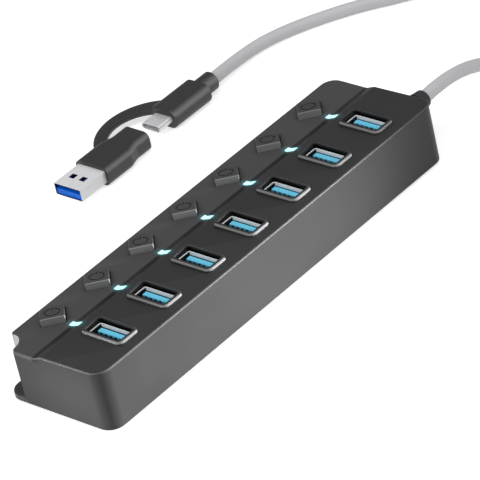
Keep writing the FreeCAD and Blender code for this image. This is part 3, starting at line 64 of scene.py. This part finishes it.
CHARCOAL = (0.038, 0.038, 0.039)
GRIP_GREY = (0.032, 0.032, 0.033)
GLOW = (0.10, 0.62, 0.68)
UNLIT = (0.003, 0.003, 0.003)
BROAD_GRAIN = 60.0
GLOSS_SPREAD = 0.04
ROLLED_GLOSS_SPREAD = (-0.05, 0.07)
NOISE_RANGE = (0.3, 0.7)  # nearly all of a noise texture's values lie between these
STEP_RUN = 3.4 * MM
LIGHT_TO_STEP = 1.3 * MM


class Look:
    """A procedural material: a principled surface with nodes wired to it."""

    def __init__(self, name, colour, roughness, metallic=0.0, **sockets):
        self.material = bpy.data.materials.new(name)
        self.material.use_nodes = True
        self.tree = self.material.node_tree
        self.surface = self.tree.nodes["Principled BSDF"]
        self.put("Base Color", (*colour, 1.0))
        self.put("Roughness", roughness)
        self.put("Metallic", metallic)
        for socket, value in sockets.items():
            self.put(socket.replace("_", " "), value)
        self.colour = colour
        self.place = self.node("ShaderNodeTexCoord").outputs["Object"]

    def put(self, socket, value):
        self.surface.inputs[socket].default_value = value

    def node(self, kind, **settings):
        made = self.tree.nodes.new(kind)
        for name, value in settings.items():
            setattr(made, name, value)
        return made

    def link(self, output, target):
        self.tree.links.new(output, target)

    def stretched(self, scale):
        """The object's own coordinates, scaled by an amount for each axis."""
        mapping = self.node("ShaderNodeMapping")
        mapping.inputs["Scale"].default_value = scale
        self.link(self.place, mapping.inputs["Vector"])
        return mapping.outputs["Vector"]

    def noise(self, scale, detail=2.0):
        texture = self.node("ShaderNodeTexNoise")
        texture.inputs["Scale"].default_value = 1.0
        texture.inputs["Detail"].default_value = detail
        self.link(self.stretched(scale), texture.inputs["Vector"])
        return texture.outputs["Fac"]

    def maths(self, operation, first, second=None):
        made = self.node("ShaderNodeMath", operation=operation)
        for socket, value in zip(made.inputs, (first, second)):
            if isinstance(value, (int, float)):
                socket.default_value = value
            elif value is not None:
                self.link(value, socket)
        return made.outputs["Value"]

    def span(self, value, low, high):
        """A texture's 0 to 1 turned into low to high."""
        ranged = self.node("ShaderNodeMapRange")
        ranged.inputs["From Min"].default_value = NOISE_RANGE[0]
        ranged.inputs["From Max"].default_value = NOISE_RANGE[1]
        ranged.inputs["To Min"].default_value = low
        ranged.inputs["To Max"].default_value = high
        self.link(value, ranged.inputs["Value"])
        return ranged.outputs["Result"]

    def mottle(self, value, share):
        """Lighten and darken the base colour a little where a texture says so."""
        mix = self.node("ShaderNodeMix", data_type="RGBA")
        low, high = mix.inputs[6], mix.inputs[7]
        low.default_value = (*[c * (1 - share) for c in self.colour], 1.0)
        high.default_value = (*[min(c * (1 + share), 1.0) for c in self.colour], 1.0)
        self.link(value, mix.inputs["Factor"])
        self.link(mix.outputs[2], self.surface.inputs["Base Color"])

    def bump(self, value, depth):
        raised = self.node("ShaderNodeBump")
        raised.inputs["Strength"].default_value = 1.0
        raised.inputs["Distance"].default_value = depth
        self.link(value, raised.inputs["Height"])
        self.link(raised.outputs["Normal"], self.surface.inputs["Normal"])

    def axes(self, vector):
        split = self.node("ShaderNodeSeparateXYZ")
        self.link(vector, split.inputs[0])
        return tuple(split.outputs)

    def spot(self):
        """The X, Y and Z of the point that is shaded."""
        return self.axes(self.place)

    def facing(self, kind="True Normal"):
        """The X, Y and Z of the direction that the surface faces."""
        return self.axes(self.node("ShaderNodeNewGeometry").outputs[kind])

    def product(self, first, *others):
        made = first
        for value in others:
            made = self.maths("MULTIPLY", made, value)
        return made

    def inverse(self, value):
        return self.maths("SUBTRACT", 1.0, value)

    def square(self, value):
        return self.maths("POWER", value, 2.0)

    def above(self, value, level):
        """1 where a value is over a level, otherwise 0."""
        return self.maths("GREATER_THAN", value, level)

    def below(self, value, level):
        """1 where a value is under a level, otherwise 0."""
        return self.maths("LESS_THAN", value, level)

    def within(self, value, reach):
        """1 where a value is less than a reach away from 0, otherwise 0."""
        return self.below(self.maths("ABSOLUTE", value), reach)

    def ramp(self, value, start, end):
        """A smooth change from 0 at start to 1 at end."""
        made = self.node("ShaderNodeMapRange", interpolation_type="SMOOTHSTEP")
        made.inputs["From Min"].default_value = start
        made.inputs["From Max"].default_value = end
        self.link(value, made.inputs["Value"])
        return made.outputs["Result"]

    def tint(self, mask, colour):
        """Change the base colour to another one where a mask is 1."""
        base = self.surface.inputs["Base Color"]
        before = base.links[0].from_socket
        mix = self.node("ShaderNodeMix", data_type="RGBA")
        self.link(mask, mix.inputs["Factor"])
        self.link(before, mix.inputs[6])
        mix.inputs[7].default_value = (*colour, 1.0)
        self.link(mix.outputs[2], base)


def grained(name, colour, roughness, grain=3200.0, depth=0.004 * MM, share=0.06, **sockets):
    """Moulded plastic or rubber: a fine even grain, with slightly uneven gloss and colour."""
    look = Look(name, colour, roughness, **sockets)
    fine = look.noise((grain,) * 3)
    broad = look.noise((BROAD_GRAIN,) * 3, detail=3.0)
    look.mottle(look.span(broad, 0.0, 1.0), share)
    uneven = look.span(broad, roughness - GLOSS_SPREAD, roughness + GLOSS_SPREAD)
    look.link(uneven, look.surface.inputs["Roughness"])
    look.bump(fine, depth)
    return look


def rolled(name, colour, roughness, scale, metallic=1.0, share=0.05, depth=0.0015 * MM):
    """Plated sheet metal with faint marks along its rolling direction."""
    smoother, rougher = ROLLED_GLOSS_SPREAD
    look = Look(name, colour, roughness, metallic)
    marks = look.noise(scale, detail=4.0)
    look.mottle(look.span(marks, 0.0, 1.0), share)
    uneven = look.span(marks, roughness + smoother, roughness + rougher)
    look.link(uneven, look.surface.inputs["Roughness"])
    look.bump(marks, depth)
    return look


def from_row(look, first, last):
    """Distances from the nearest piece of a row, across and along it, and a mask of the row's length."""
    low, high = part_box(first)
    far_low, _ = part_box(last)
    pitch = (far_low.y - low.y) / (len(PORTS) - 1)
    middle = (low + high) / 2
    x, y, _ = look.spot()
    start = look.maths("SUBTRACT", y, middle.y - pitch / 2)
    along = look.maths("SUBTRACT", look.maths("FLOORED_MODULO", start, pitch), pitch / 2)
    across = look.maths("SUBTRACT", x, middle.x)
    half = 0.5
    in_row = look.maths("COMPARE", look.maths("DIVIDE", start, pitch * len(PORTS)), half)
    in_row.node.inputs[2].default_value = half
    return across, along, in_row


def light_spill(look, colour, strength, beside=1.1 * MM, beyond=0.8 * MM, left=0.13, depth=3.0 * MM):
    """Faint glow on the panel round each light, fading to a share of it beside and beyond the light."""
    low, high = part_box("light_pipe_1")
    half = (high - low) / 2
    across, along, in_row = from_row(look, "light_pipe_1", "light_pipe_7")
    across = look.square(look.maths("DIVIDE", across, half.x + beside))
    along = look.square(look.maths("DIVIDE", along, half.y + beyond))
    fade = look.maths("POWER", left, look.maths("ADD", across, along))
    on_top = look.above(look.spot()[2], high.z - depth)
    look.put("Emission Color", (*colour, 1.0))
    look.link(look.product(fade, on_top, in_row, strength), look.surface.inputs["Emission Strength"])


def painted_edge_highlight(look, colour, strength, lowest, level=0.0, flattest=0.88, turned=0.25):
    """Painted highlight: lighter where a rounding over a level turns from the top to the near or right
    side.
    """
    across, along, up = look.facing()
    rounding = look.product(look.above(up, lowest), look.below(up, flattest))
    sideways = look.above(look.maths("SUBTRACT", across, along), turned)
    look.tint(look.product(rounding, sideways, look.above(look.spot()[2], level), strength), colour)


def painted_symbol_shade(look, reach, colour, steepest=0.7):
    """Painted shade on the walls of the sunk symbol in the middle of each button."""
    across, along, in_row = from_row(look, "button_1", "button_7")
    distance = look.maths("ADD", look.square(across), look.square(along))
    wall = look.below(look.facing()[2], steepest)
    look.tint(look.product(look.below(distance, reach * reach), wall, in_row), colour)


def painted_side_highlight(look, colour, brightest=0.5, flattest=0.97, turned=(0.1, 0.6)):
    """Painted highlight: a soft lighter band where a rounding turns towards the near right."""
    across, _, up = look.facing("Normal")
    rise = look.ramp(up, 0.0, brightest)
    fall = look.inverse(look.ramp(up, brightest, flattest))
    look.tint(look.product(rise, fall, look.ramp(across, *turned)), colour)


def painted_step_shade(look, colour, lighter, strength=0.85, depth=2.5 * MM,
              before=1.0 * MM, darkest=(0.4 * MM, 0.8 * MM)):
    """Painted shade along the step between the two panels, and painted light that makes the low panel a
    little lighter.
    """
    low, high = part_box("light_pipe_1")
    foot = low.x + LIGHT_TO_STEP
    x, _, z = look.spot()
    on_top = look.above(z, high.z - depth)
    # painted light: the low panel a little lighter beside the step
    low_side = look.inverse(look.ramp(x, foot - before, foot))
    look.tint(look.product(low_side, on_top), lighter)
    # painted shade: darkest just past the foot of the step, fading up its slope
    rise = look.ramp(x, foot - before, foot + darkest[0])
    fall = look.inverse(look.ramp(x, foot + darkest[1], foot + STEP_RUN))
    look.tint(look.product(rise, fall, on_top, strength), colour)


def scoop_glint(look, colour, reach=3.0 * MM, turned=-0.8, tilted=0.2):
    """Bright reflection on the hollow round the power inlet."""
    low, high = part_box("dc_jack_body")
    x, y, _ = look.spot()
    _, towards, up = look.facing()
    upright = look.product(look.below(towards, turned), look.within(up, tilted))
    beside = look.product(look.above(y, low.y), look.below(y, high.y))
    look.tint(look.product(upright, beside, look.below(x, low.x + reach)), colour)


def painted_mouth_shade(look, colour, beside=0.75 * MM, beyond=0.74 * MM, rim=0.98 * MM):
    """Painted shade on the walls of the recess round each socket."""
    low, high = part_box("port_shell_1")
    half = (high - low) / 2
    across, along, in_row = from_row(look, "port_shell_1", "port_shell_7")
    inside = look.product(look.within(across, half.x + beside), look.within(along, half.y + beyond))
    look.tint(look.product(inside, in_row, look.below(look.spot()[2], high.z + rim)), colour)


def deep_shade(look, top, depth, colour):
    """Fade a socket's inside to a dark colour with its depth below a level."""
    lit_part = look.ramp(look.spot()[2], top - depth, top)
    look.tint(look.inverse(lit_part), colour)


def shaded_end(look, level, colour, turned=0.4):
    """Dark on the inner wall of a socket that faces +X, below a level."""
    end = look.above(look.facing()[0], turned)
    look.tint(look.product(end, look.below(look.spot()[2], level)), colour)


def inside_shade(look, node, colour, skin=0.1 * MM):
    """Another colour on the inside of a tube, away from its outer faces."""
    low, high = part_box(node)
    middle = (low + high) / 2
    half = (high - low) / 2
    x, _, z = look.spot()
    inside_x = look.within(look.maths("SUBTRACT", x, middle.x), half.x - skin)
    inside_z = look.within(look.maths("SUBTRACT", z, middle.z), half.z - skin)
    look.tint(look.product(inside_x, inside_z), colour)


shell_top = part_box("top_shell")[1].z
casing = grained("casing_plastic", CHARCOAL, 0.46, Specular_IOR_Level=0.2)
# painted shade along the step and painted light on the low panel beside it
painted_step_shade(casing, (0.009, 0.009, 0.009), (0.076, 0.076, 0.077))
# painted highlight on the casing's roundings that face the near or right side
painted_edge_highlight(casing, (0.13, 0.13, 0.13), 0.6, lowest=0.3)
# brighter painted highlight on the roundings near the top of the shell
painted_edge_highlight(casing, (0.30, 0.30, 0.30), 0.7, lowest=0.3, level=shell_top - 0.9 * MM)
# painted shade on the recess walls round the sockets
painted_mouth_shade(casing, UNLIT)
scoop_glint(casing, (0.70, 0.70, 0.70))
light_spill(casing, GLOW, 0.55)
underside = grained("base_plastic", CHARCOAL, 0.5)
cap = grained("button_plastic", (0.045, 0.045, 0.046), 0.42, Specular_IOR_Level=0.25)
# painted highlight on the buttons' sides and roundings that face the near or right side
painted_edge_highlight(cap, (0.26, 0.26, 0.26), 0.9, lowest=-0.1)
# painted shade on the walls of the sunk symbols
painted_symbol_shade(cap, 3.2 * MM, UNLIT)
grip = grained("grip_plastic", GRIP_GREY, 0.44, grain=2400.0)
# painted highlight along the grips' roundings towards the near right
painted_side_highlight(grip, (0.24, 0.24, 0.24))
rubber = grained("soft_rubber", (0.030, 0.030, 0.032), 0.62, grain=1800.0, depth=0.008 * MM)
strap_rubber = grained("strap_rubber", GRIP_GREY, 0.5, grain=1800.0, depth=0.006 * MM)
jacket = grained("cable_jacket", (0.66, 0.66, 0.675), 0.45, grain=900.0, depth=0.01 * MM, share=0.03)
black = grained("black_nylon", (0.012, 0.012, 0.013), 0.45)
port_blue = grained("port_blue", (0.17, 0.70, 0.98), 0.35, share=0.05)
socket_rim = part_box("port_shell_1")[1].z
deep_shade(port_blue, socket_rim - 1.0 * MM, 1.4 * MM, (0.003, 0.012, 0.022))
contact_shade = grained("contact_shade", (0.006, 0.030, 0.075), 0.4)
plug_blue = grained("plug_blue", (0.006, 0.19, 0.92), 0.4, share=0.05, Specular_IOR_Level=0.2)
solder_mask = grained("solder_mask", (0.012, 0.090, 0.030), 0.3, grain=700.0)
epoxy = grained("chip_epoxy", (0.010, 0.010, 0.010), 0.55, grain=5000.0)
white_nylon = grained("white_nylon", (0.75, 0.73, 0.66), 0.45)
shell_metal = rolled("shell_metal", (0.97, 0.96, 0.96), 0.42, (500.0, 500.0, 9000.0), metallic=0.02)
deep_shade(shell_metal, socket_rim - 1.0 * MM, 0.4 * MM, (0.01, 0.01, 0.012))
shaded_end(shell_metal, socket_rim - 0.25 * MM, (0.008, 0.008, 0.009))
plug_metal = rolled("plug_metal", (0.96, 0.96, 0.97), 0.34, (2500.0, 250.0, 2500.0), metallic=0.15)
inside_shade(plug_metal, "adapter_shell", (0.006, 0.020, 0.17))
c_metal = rolled("c_metal", (0.90, 0.90, 0.91), 0.3, (2500.0, 250.0, 2500.0), metallic=0.4)
dull_metal = rolled("dull_metal", (0.58, 0.58, 0.59), 0.38, (3000.0, 3000.0, 300.0))
gold = rolled("contact_gold", (0.80, 0.58, 0.26), 0.28, (4000.0, 4000.0, 400.0))


def lit_pipe():
    """Clear light pipe, lit from inside a little unevenly."""
    look = Look("lit_pipe", (0.45, 0.80, 0.82), 0.25)
    ripple = look.noise((700.0,) * 3)
    look.mottle(ripple, 0.1)
    look.bump(ripple, 0.01 * MM)
    look.put("Emission Color", (0.50, 0.95, 1.0, 1.0))
    look.link(look.span(ripple, 0.75, 1.0), look.surface.inputs["Emission Strength"])
    return look


lit = lit_pipe()

LOOKS = {
    "top_shell": casing, "base_plate": underside, "screws": dull_metal, "feet": rubber,
    "pcb": solder_mask, "port_contacts": contact_shade, "switches": black, "indicator_leds": white_nylon,
    "hub_chips": epoxy, "crystal": dull_metal, "capacitors": dull_metal, "dc_jack_body": black,
    "dc_jack_pin": dull_metal, "cable_boot": rubber, "cable_tail": jacket, "cable_header": white_nylon,
    "cable_hub_run": jacket, "cable_coil": jacket, "cable_plug_run": jacket, "cable_tie": black,
    "type_c_boot": grip, "type_c_grip": grip, "type_c_shell": c_metal, "type_c_insulator": black,
    "adapter_body": grip, "adapter_shell": plug_metal, "adapter_tongue": plug_blue,
    "adapter_contacts": gold, "adapter_socket": dull_metal, "adapter_socket_tongue": black,
    "strap": strap_rubber,
}
for number in PORTS:
    LOOKS["port_shell_%d" % number] = shell_metal
    LOOKS["port_tongue_%d" % number] = port_blue
    LOOKS["button_%d" % number] = cap
    LOOKS["light_pipe_%d" % number] = lit

for name, node in NODES.items():
    node.data.materials.clear()
    node.data.materials.append(LOOKS[name].material)


# ---------------------------------------------------------------- cable

CABLE_ROUND = 4.6 * MM
REST = CABLE_ROUND / 2
COIL_X = -12.0 * MM
COIL_Y = 199.0 * MM
OUTER_TURN = 25.9 * MM
INNER_TURN = 21.3 * MM
TOP_TURN = 23.6 * MM
TOP_RISE = 4.0 * MM
OVER_RISE = 4.7 * MM
POINTS_PER_TURN = 24
TURNED = 900  # degrees in all
INWARDS = (250, 350)  # degrees between which the cable moves to the inner turn
OVER = (560, 660)  # degrees between which it climbs on the others
SETTLE = (690, 790)  # degrees between which it sinks between them

hub_run = [
    (11.0, 89.5, 16.0),
    (9.1, 107.5, 15.8),
    (8.8, 131.5, 5.2),
    (10.4, 161.5, 2.3),
    (13.9, 182.0, 2.3),
]
plug_run = [
    (-36.2, 188.0, 7.5),
    (-40.5, 175.0, 5.0),
    (-50.0, 160.0, 2.3),
    (-66.9, 142.5, 2.3),
    (-80.4, 118.5, 2.3),
    (-82.6, 100.5, 2.8),
    (-80.9, 84.5, 3.6),
]


def ease(value, start, end):
    """0 before start, 1 after end, and a smooth change between them."""
    share = min(max((value - start) / (end - start), 0.0), 1.0)
    return share * share * (3 - 2 * share)


def coil_point(turned):
    """A point of the coil, by how far it has turned from the +X side, in degrees."""
    inwards = ease(turned, *INWARDS)
    over = ease(turned, *OVER)
    settle = ease(turned, *SETTLE)
    radius = OUTER_TURN + (INNER_TURN - OUTER_TURN) * inwards + (TOP_TURN - INNER_TURN) * settle
    height = REST + OVER_RISE * over + (TOP_RISE - OVER_RISE) * settle
    angle = math.radians(turned)
    return COIL_X + radius * math.cos(angle), COIL_Y + radius * math.sin(angle), height


def make_cable():
    """One curve from the boot at the hub, round the coil and on to the plug."""
    step = 360 // POINTS_PER_TURN
    route = [tuple(c * MM for c in point) for point in hub_run]
    route += [coil_point(turned) for turned in range(0, TURNED + 1, step)]
    route += [tuple(c * MM for c in point) for point in plug_run]
    curve = bpy.data.curves.new("cable", "CURVE")
    curve.dimensions = "3D"
    curve.bevel_depth = CABLE_ROUND / 2
    curve.bevel_resolution = 6
    curve.resolution_u = 6
    curve.use_fill_caps = True
    spline = curve.splines.new("NURBS")
    spline.points.add(len(route) - 1)
    for point, place in zip(spline.points, route):
        point.co = (*place, 1.0)
    spline.order_u = 3
    spline.use_endpoint_u = True
    cable = bpy.data.objects.new("cable", curve)
    scene.collection.objects.link(cable)
    curve.materials.append(jacket.material)
    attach(cable, "hub")
    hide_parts("cable_hub_run", "cable_coil", "cable_plug_run")
    return cable


# ---------------------------------------------------------------- strap

STRAP_OUTER = 20.5 * MM
STRAP_INNER = 13.2 * MM
STRAP_WIDE = 4.6 * MM
STRAP_EDGE = 0.6 * MM
STRAP_STATIONS = 48
OUTER_TO_GRIP = 9.7 * MM
INNER_TO_GRIP = 10.5 * MM
OUTER_TURNS = (236.4, 118.1)
INNER_TURNS = (235.1, 121.6)


def strap_section(outer, inner, bottom, top):
    """Closed ring of points of the band's section, with soft edges."""
    across = inner - outer
    wide = across.length
    along = across / wide
    corners = [(wide, top, 0), (0.0, top, 90), (0.0, bottom, 180), (wide, bottom, 270)]
    ring = []
    for edge, level, start in corners:
        middle = edge + (STRAP_EDGE if edge == 0.0 else -STRAP_EDGE)
        height = level + (STRAP_EDGE if level == bottom else -STRAP_EDGE)
        for turned in (0, 30, 60, 90):
            angle = math.radians(start + turned)
            place = outer + along * (middle + STRAP_EDGE * math.cos(angle))
            ring.append(Vector((place.x, place.y, height + STRAP_EDGE * math.sin(angle))))
    return ring


def strap_turn(turns, share):
    """Direction from an arc's middle to its point at a share of the way from the adapter to the grip."""
    first, last = turns
    angle = math.radians(first + (last - first) * share)
    return Vector((math.cos(angle), math.sin(angle)))


def make_strap():
    """Flat bowed band from the adapter to the grip, wider at both roots."""
    low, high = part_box("strap")
    grip_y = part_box("type_c_grip")[0].y
    outer_middle = Vector((low.x + STRAP_OUTER, grip_y - OUTER_TO_GRIP))
    inner_middle = Vector((low.x + STRAP_WIDE + STRAP_INNER, grip_y - INNER_TO_GRIP))
    made = bmesh.new()
    rings = []
    for station in range(STRAP_STATIONS + 1):
        share = station / STRAP_STATIONS
        outer = outer_middle + STRAP_OUTER * strap_turn(OUTER_TURNS, share)
        inner = inner_middle + STRAP_INNER * strap_turn(INNER_TURNS, share)
        rings.append([made.verts.new(point) for point in strap_section(outer, inner, low.z, high.z)])
    for ring, following in zip(rings, rings[1:]):
        for index in range(len(ring)):
            after = (index + 1) % len(ring)
            made.faces.new((ring[index], ring[after], following[after], following[index]))
    made.faces.new(rings[0][::-1])
    made.faces.new(rings[-1])
    bmesh.ops.recalc_face_normals(made, faces=made.faces)
    mesh = bpy.data.meshes.new("tether")
    made.to_mesh(mesh)
    made.free()
    for face in mesh.polygons:
        face.use_smooth = len(face.vertices) == 4
    mesh.materials.append(strap_rubber.material)
    piece = bpy.data.objects.new("tether", mesh)
    scene.collection.objects.link(piece)
    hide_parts("strap")
    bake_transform(piece)
    return piece


cable = make_cable()
strap = make_strap()


# ---------------------------------------------------------------- floor, lights and camera

FLOOR_SIZE = 12.0
FLOOR_DROP = 0.02 * MM
FLOOR_GLOW = 0.63
AMBIENT = (0.30, 0.30, 0.31, 1.0)
WHITE = (1.0, 1.0, 1.0, 1.0)


def make_floor():
    """White paper that keeps the shadows and looks white in the picture and in reflections."""
    bpy.ops.mesh.primitive_plane_add(size=FLOOR_SIZE, location=(0, 0, -FLOOR_DROP))
    floor = bpy.context.object
    floor.name = "floor"
    look = Look("floor_paper", (0.82, 0.82, 0.82), 0.8, Specular_IOR_Level=0.1)
    tooth = look.noise((900.0,) * 3)
    look.bump(tooth, 0.02 * MM)
    rays = look.node("ShaderNodeLightPath")
    seen = look.maths("MAXIMUM", rays.outputs["Is Camera Ray"], rays.outputs["Is Glossy Ray"])
    seen = look.maths("MAXIMUM", seen, rays.outputs["Is Transmission Ray"])
    look.put("Emission Color", WHITE)
    look.link(look.maths("MULTIPLY", seen, FLOOR_GLOW), look.surface.inputs["Emission Strength"])
    floor.data.materials.append(look.material)


def make_world():
    """White behind the hub, and a dimmer light on it from all round."""
    world = bpy.data.worlds.new("studio")
    scene.world = world
    world.use_nodes = True
    nodes = world.node_tree.nodes
    links = world.node_tree.links
    background = nodes["Background"]
    rays = nodes.new("ShaderNodeLightPath")
    mix = nodes.new("ShaderNodeMix")
    mix.data_type = "RGBA"
    mix.inputs[6].default_value = AMBIENT
    mix.inputs[7].default_value = WHITE
    links.new(rays.outputs["Is Camera Ray"], mix.inputs["Factor"])
    links.new(mix.outputs[2], background.inputs["Color"])
    background.inputs["Strength"].default_value = 1.0


def add_lamp(name, lamp, place, target):
    holder = bpy.data.objects.new(name, lamp)
    holder.location = place
    aim = Vector(target) - Vector(place)
    holder.rotation_mode = "QUATERNION"
    holder.rotation_quaternion = aim.to_track_quat("-Z", "Y")
    scene.collection.objects.link(holder)


def area_light(name, place, target, wide, tall, power):
    lamp = bpy.data.lights.new(name, "AREA")
    lamp.shape = "RECTANGLE"
    lamp.size = wide
    lamp.size_y = tall
    lamp.energy = power
    add_lamp(name, lamp, place, target)


def spot_light(name, place, target, cone, power, bulb=0.012):
    """Soft-edged beam that fades from its middle to its edge."""
    lamp = bpy.data.lights.new(name, "SPOT")
    lamp.spot_size = math.radians(cone)
    lamp.spot_blend = 1.0
    lamp.shadow_soft_size = bulb
    lamp.energy = power
    add_lamp(name, lamp, place, target)


def make_lights():
    """Three soft boxes, a narrow beam on the near end and a wide one on the port side."""
    near_end = (0.010, -0.0825, 0.010)
    port_side = (0.0225, -0.032, 0.010)
    area_light("overhead", (0.25, 0.30, 1.0), (0.0, 0.0, 0.0), wide=1.0, tall=1.0, power=3.2)
    area_light("side_softbox", (0.9, -0.10, 0.22), (0.0, 0.0, 0.01), wide=0.7, tall=0.3, power=0.5)
    area_light("front_fill", (-0.1, -0.75, 0.9), (0.0, 0.0, 0.01), wide=0.6, tall=0.6, power=5.0)
    spot_light("end_beam", (-0.50, -0.62, 0.07), near_end, cone=3.6, power=36.0)
    spot_light("side_beam", (0.50, 0.45, 0.07), port_side, cone=14.0, power=58.0)


def make_camera():
    """Long lens at the photograph's angle, rolled so that the hub runs up to the right."""
    azimuth = math.radians(47.76)
    elevation = math.radians(32.44)
    roll = math.radians(-13.38)
    target = Vector((-0.0110, 0.0164, 0.0))
    distance = 1.3354
    level = Vector((math.cos(azimuth), math.sin(azimuth), 0.0))
    back = Vector((
        math.sin(azimuth) * math.cos(elevation),
        -math.cos(azimuth) * math.cos(elevation),
        math.sin(elevation)))
    upright = back.cross(level)
    right = level * math.cos(roll) + upright * math.sin(roll)
    up = back.cross(right)
    data = bpy.data.cameras.new("camera")
    data.sensor_width = 36.0
    data.lens = 311.4
    data.clip_end = 20.0
    camera = bpy.data.objects.new("camera", data)
    turn = Matrix((right, up, back)).transposed()
    camera.matrix_world = Matrix.Translation(target + back * distance) @ turn.to_4x4()
    scene.collection.objects.link(camera)
    scene.camera = camera


make_floor()
make_world()
make_lights()
make_camera()
scene.view_settings.view_transform = "Standard"
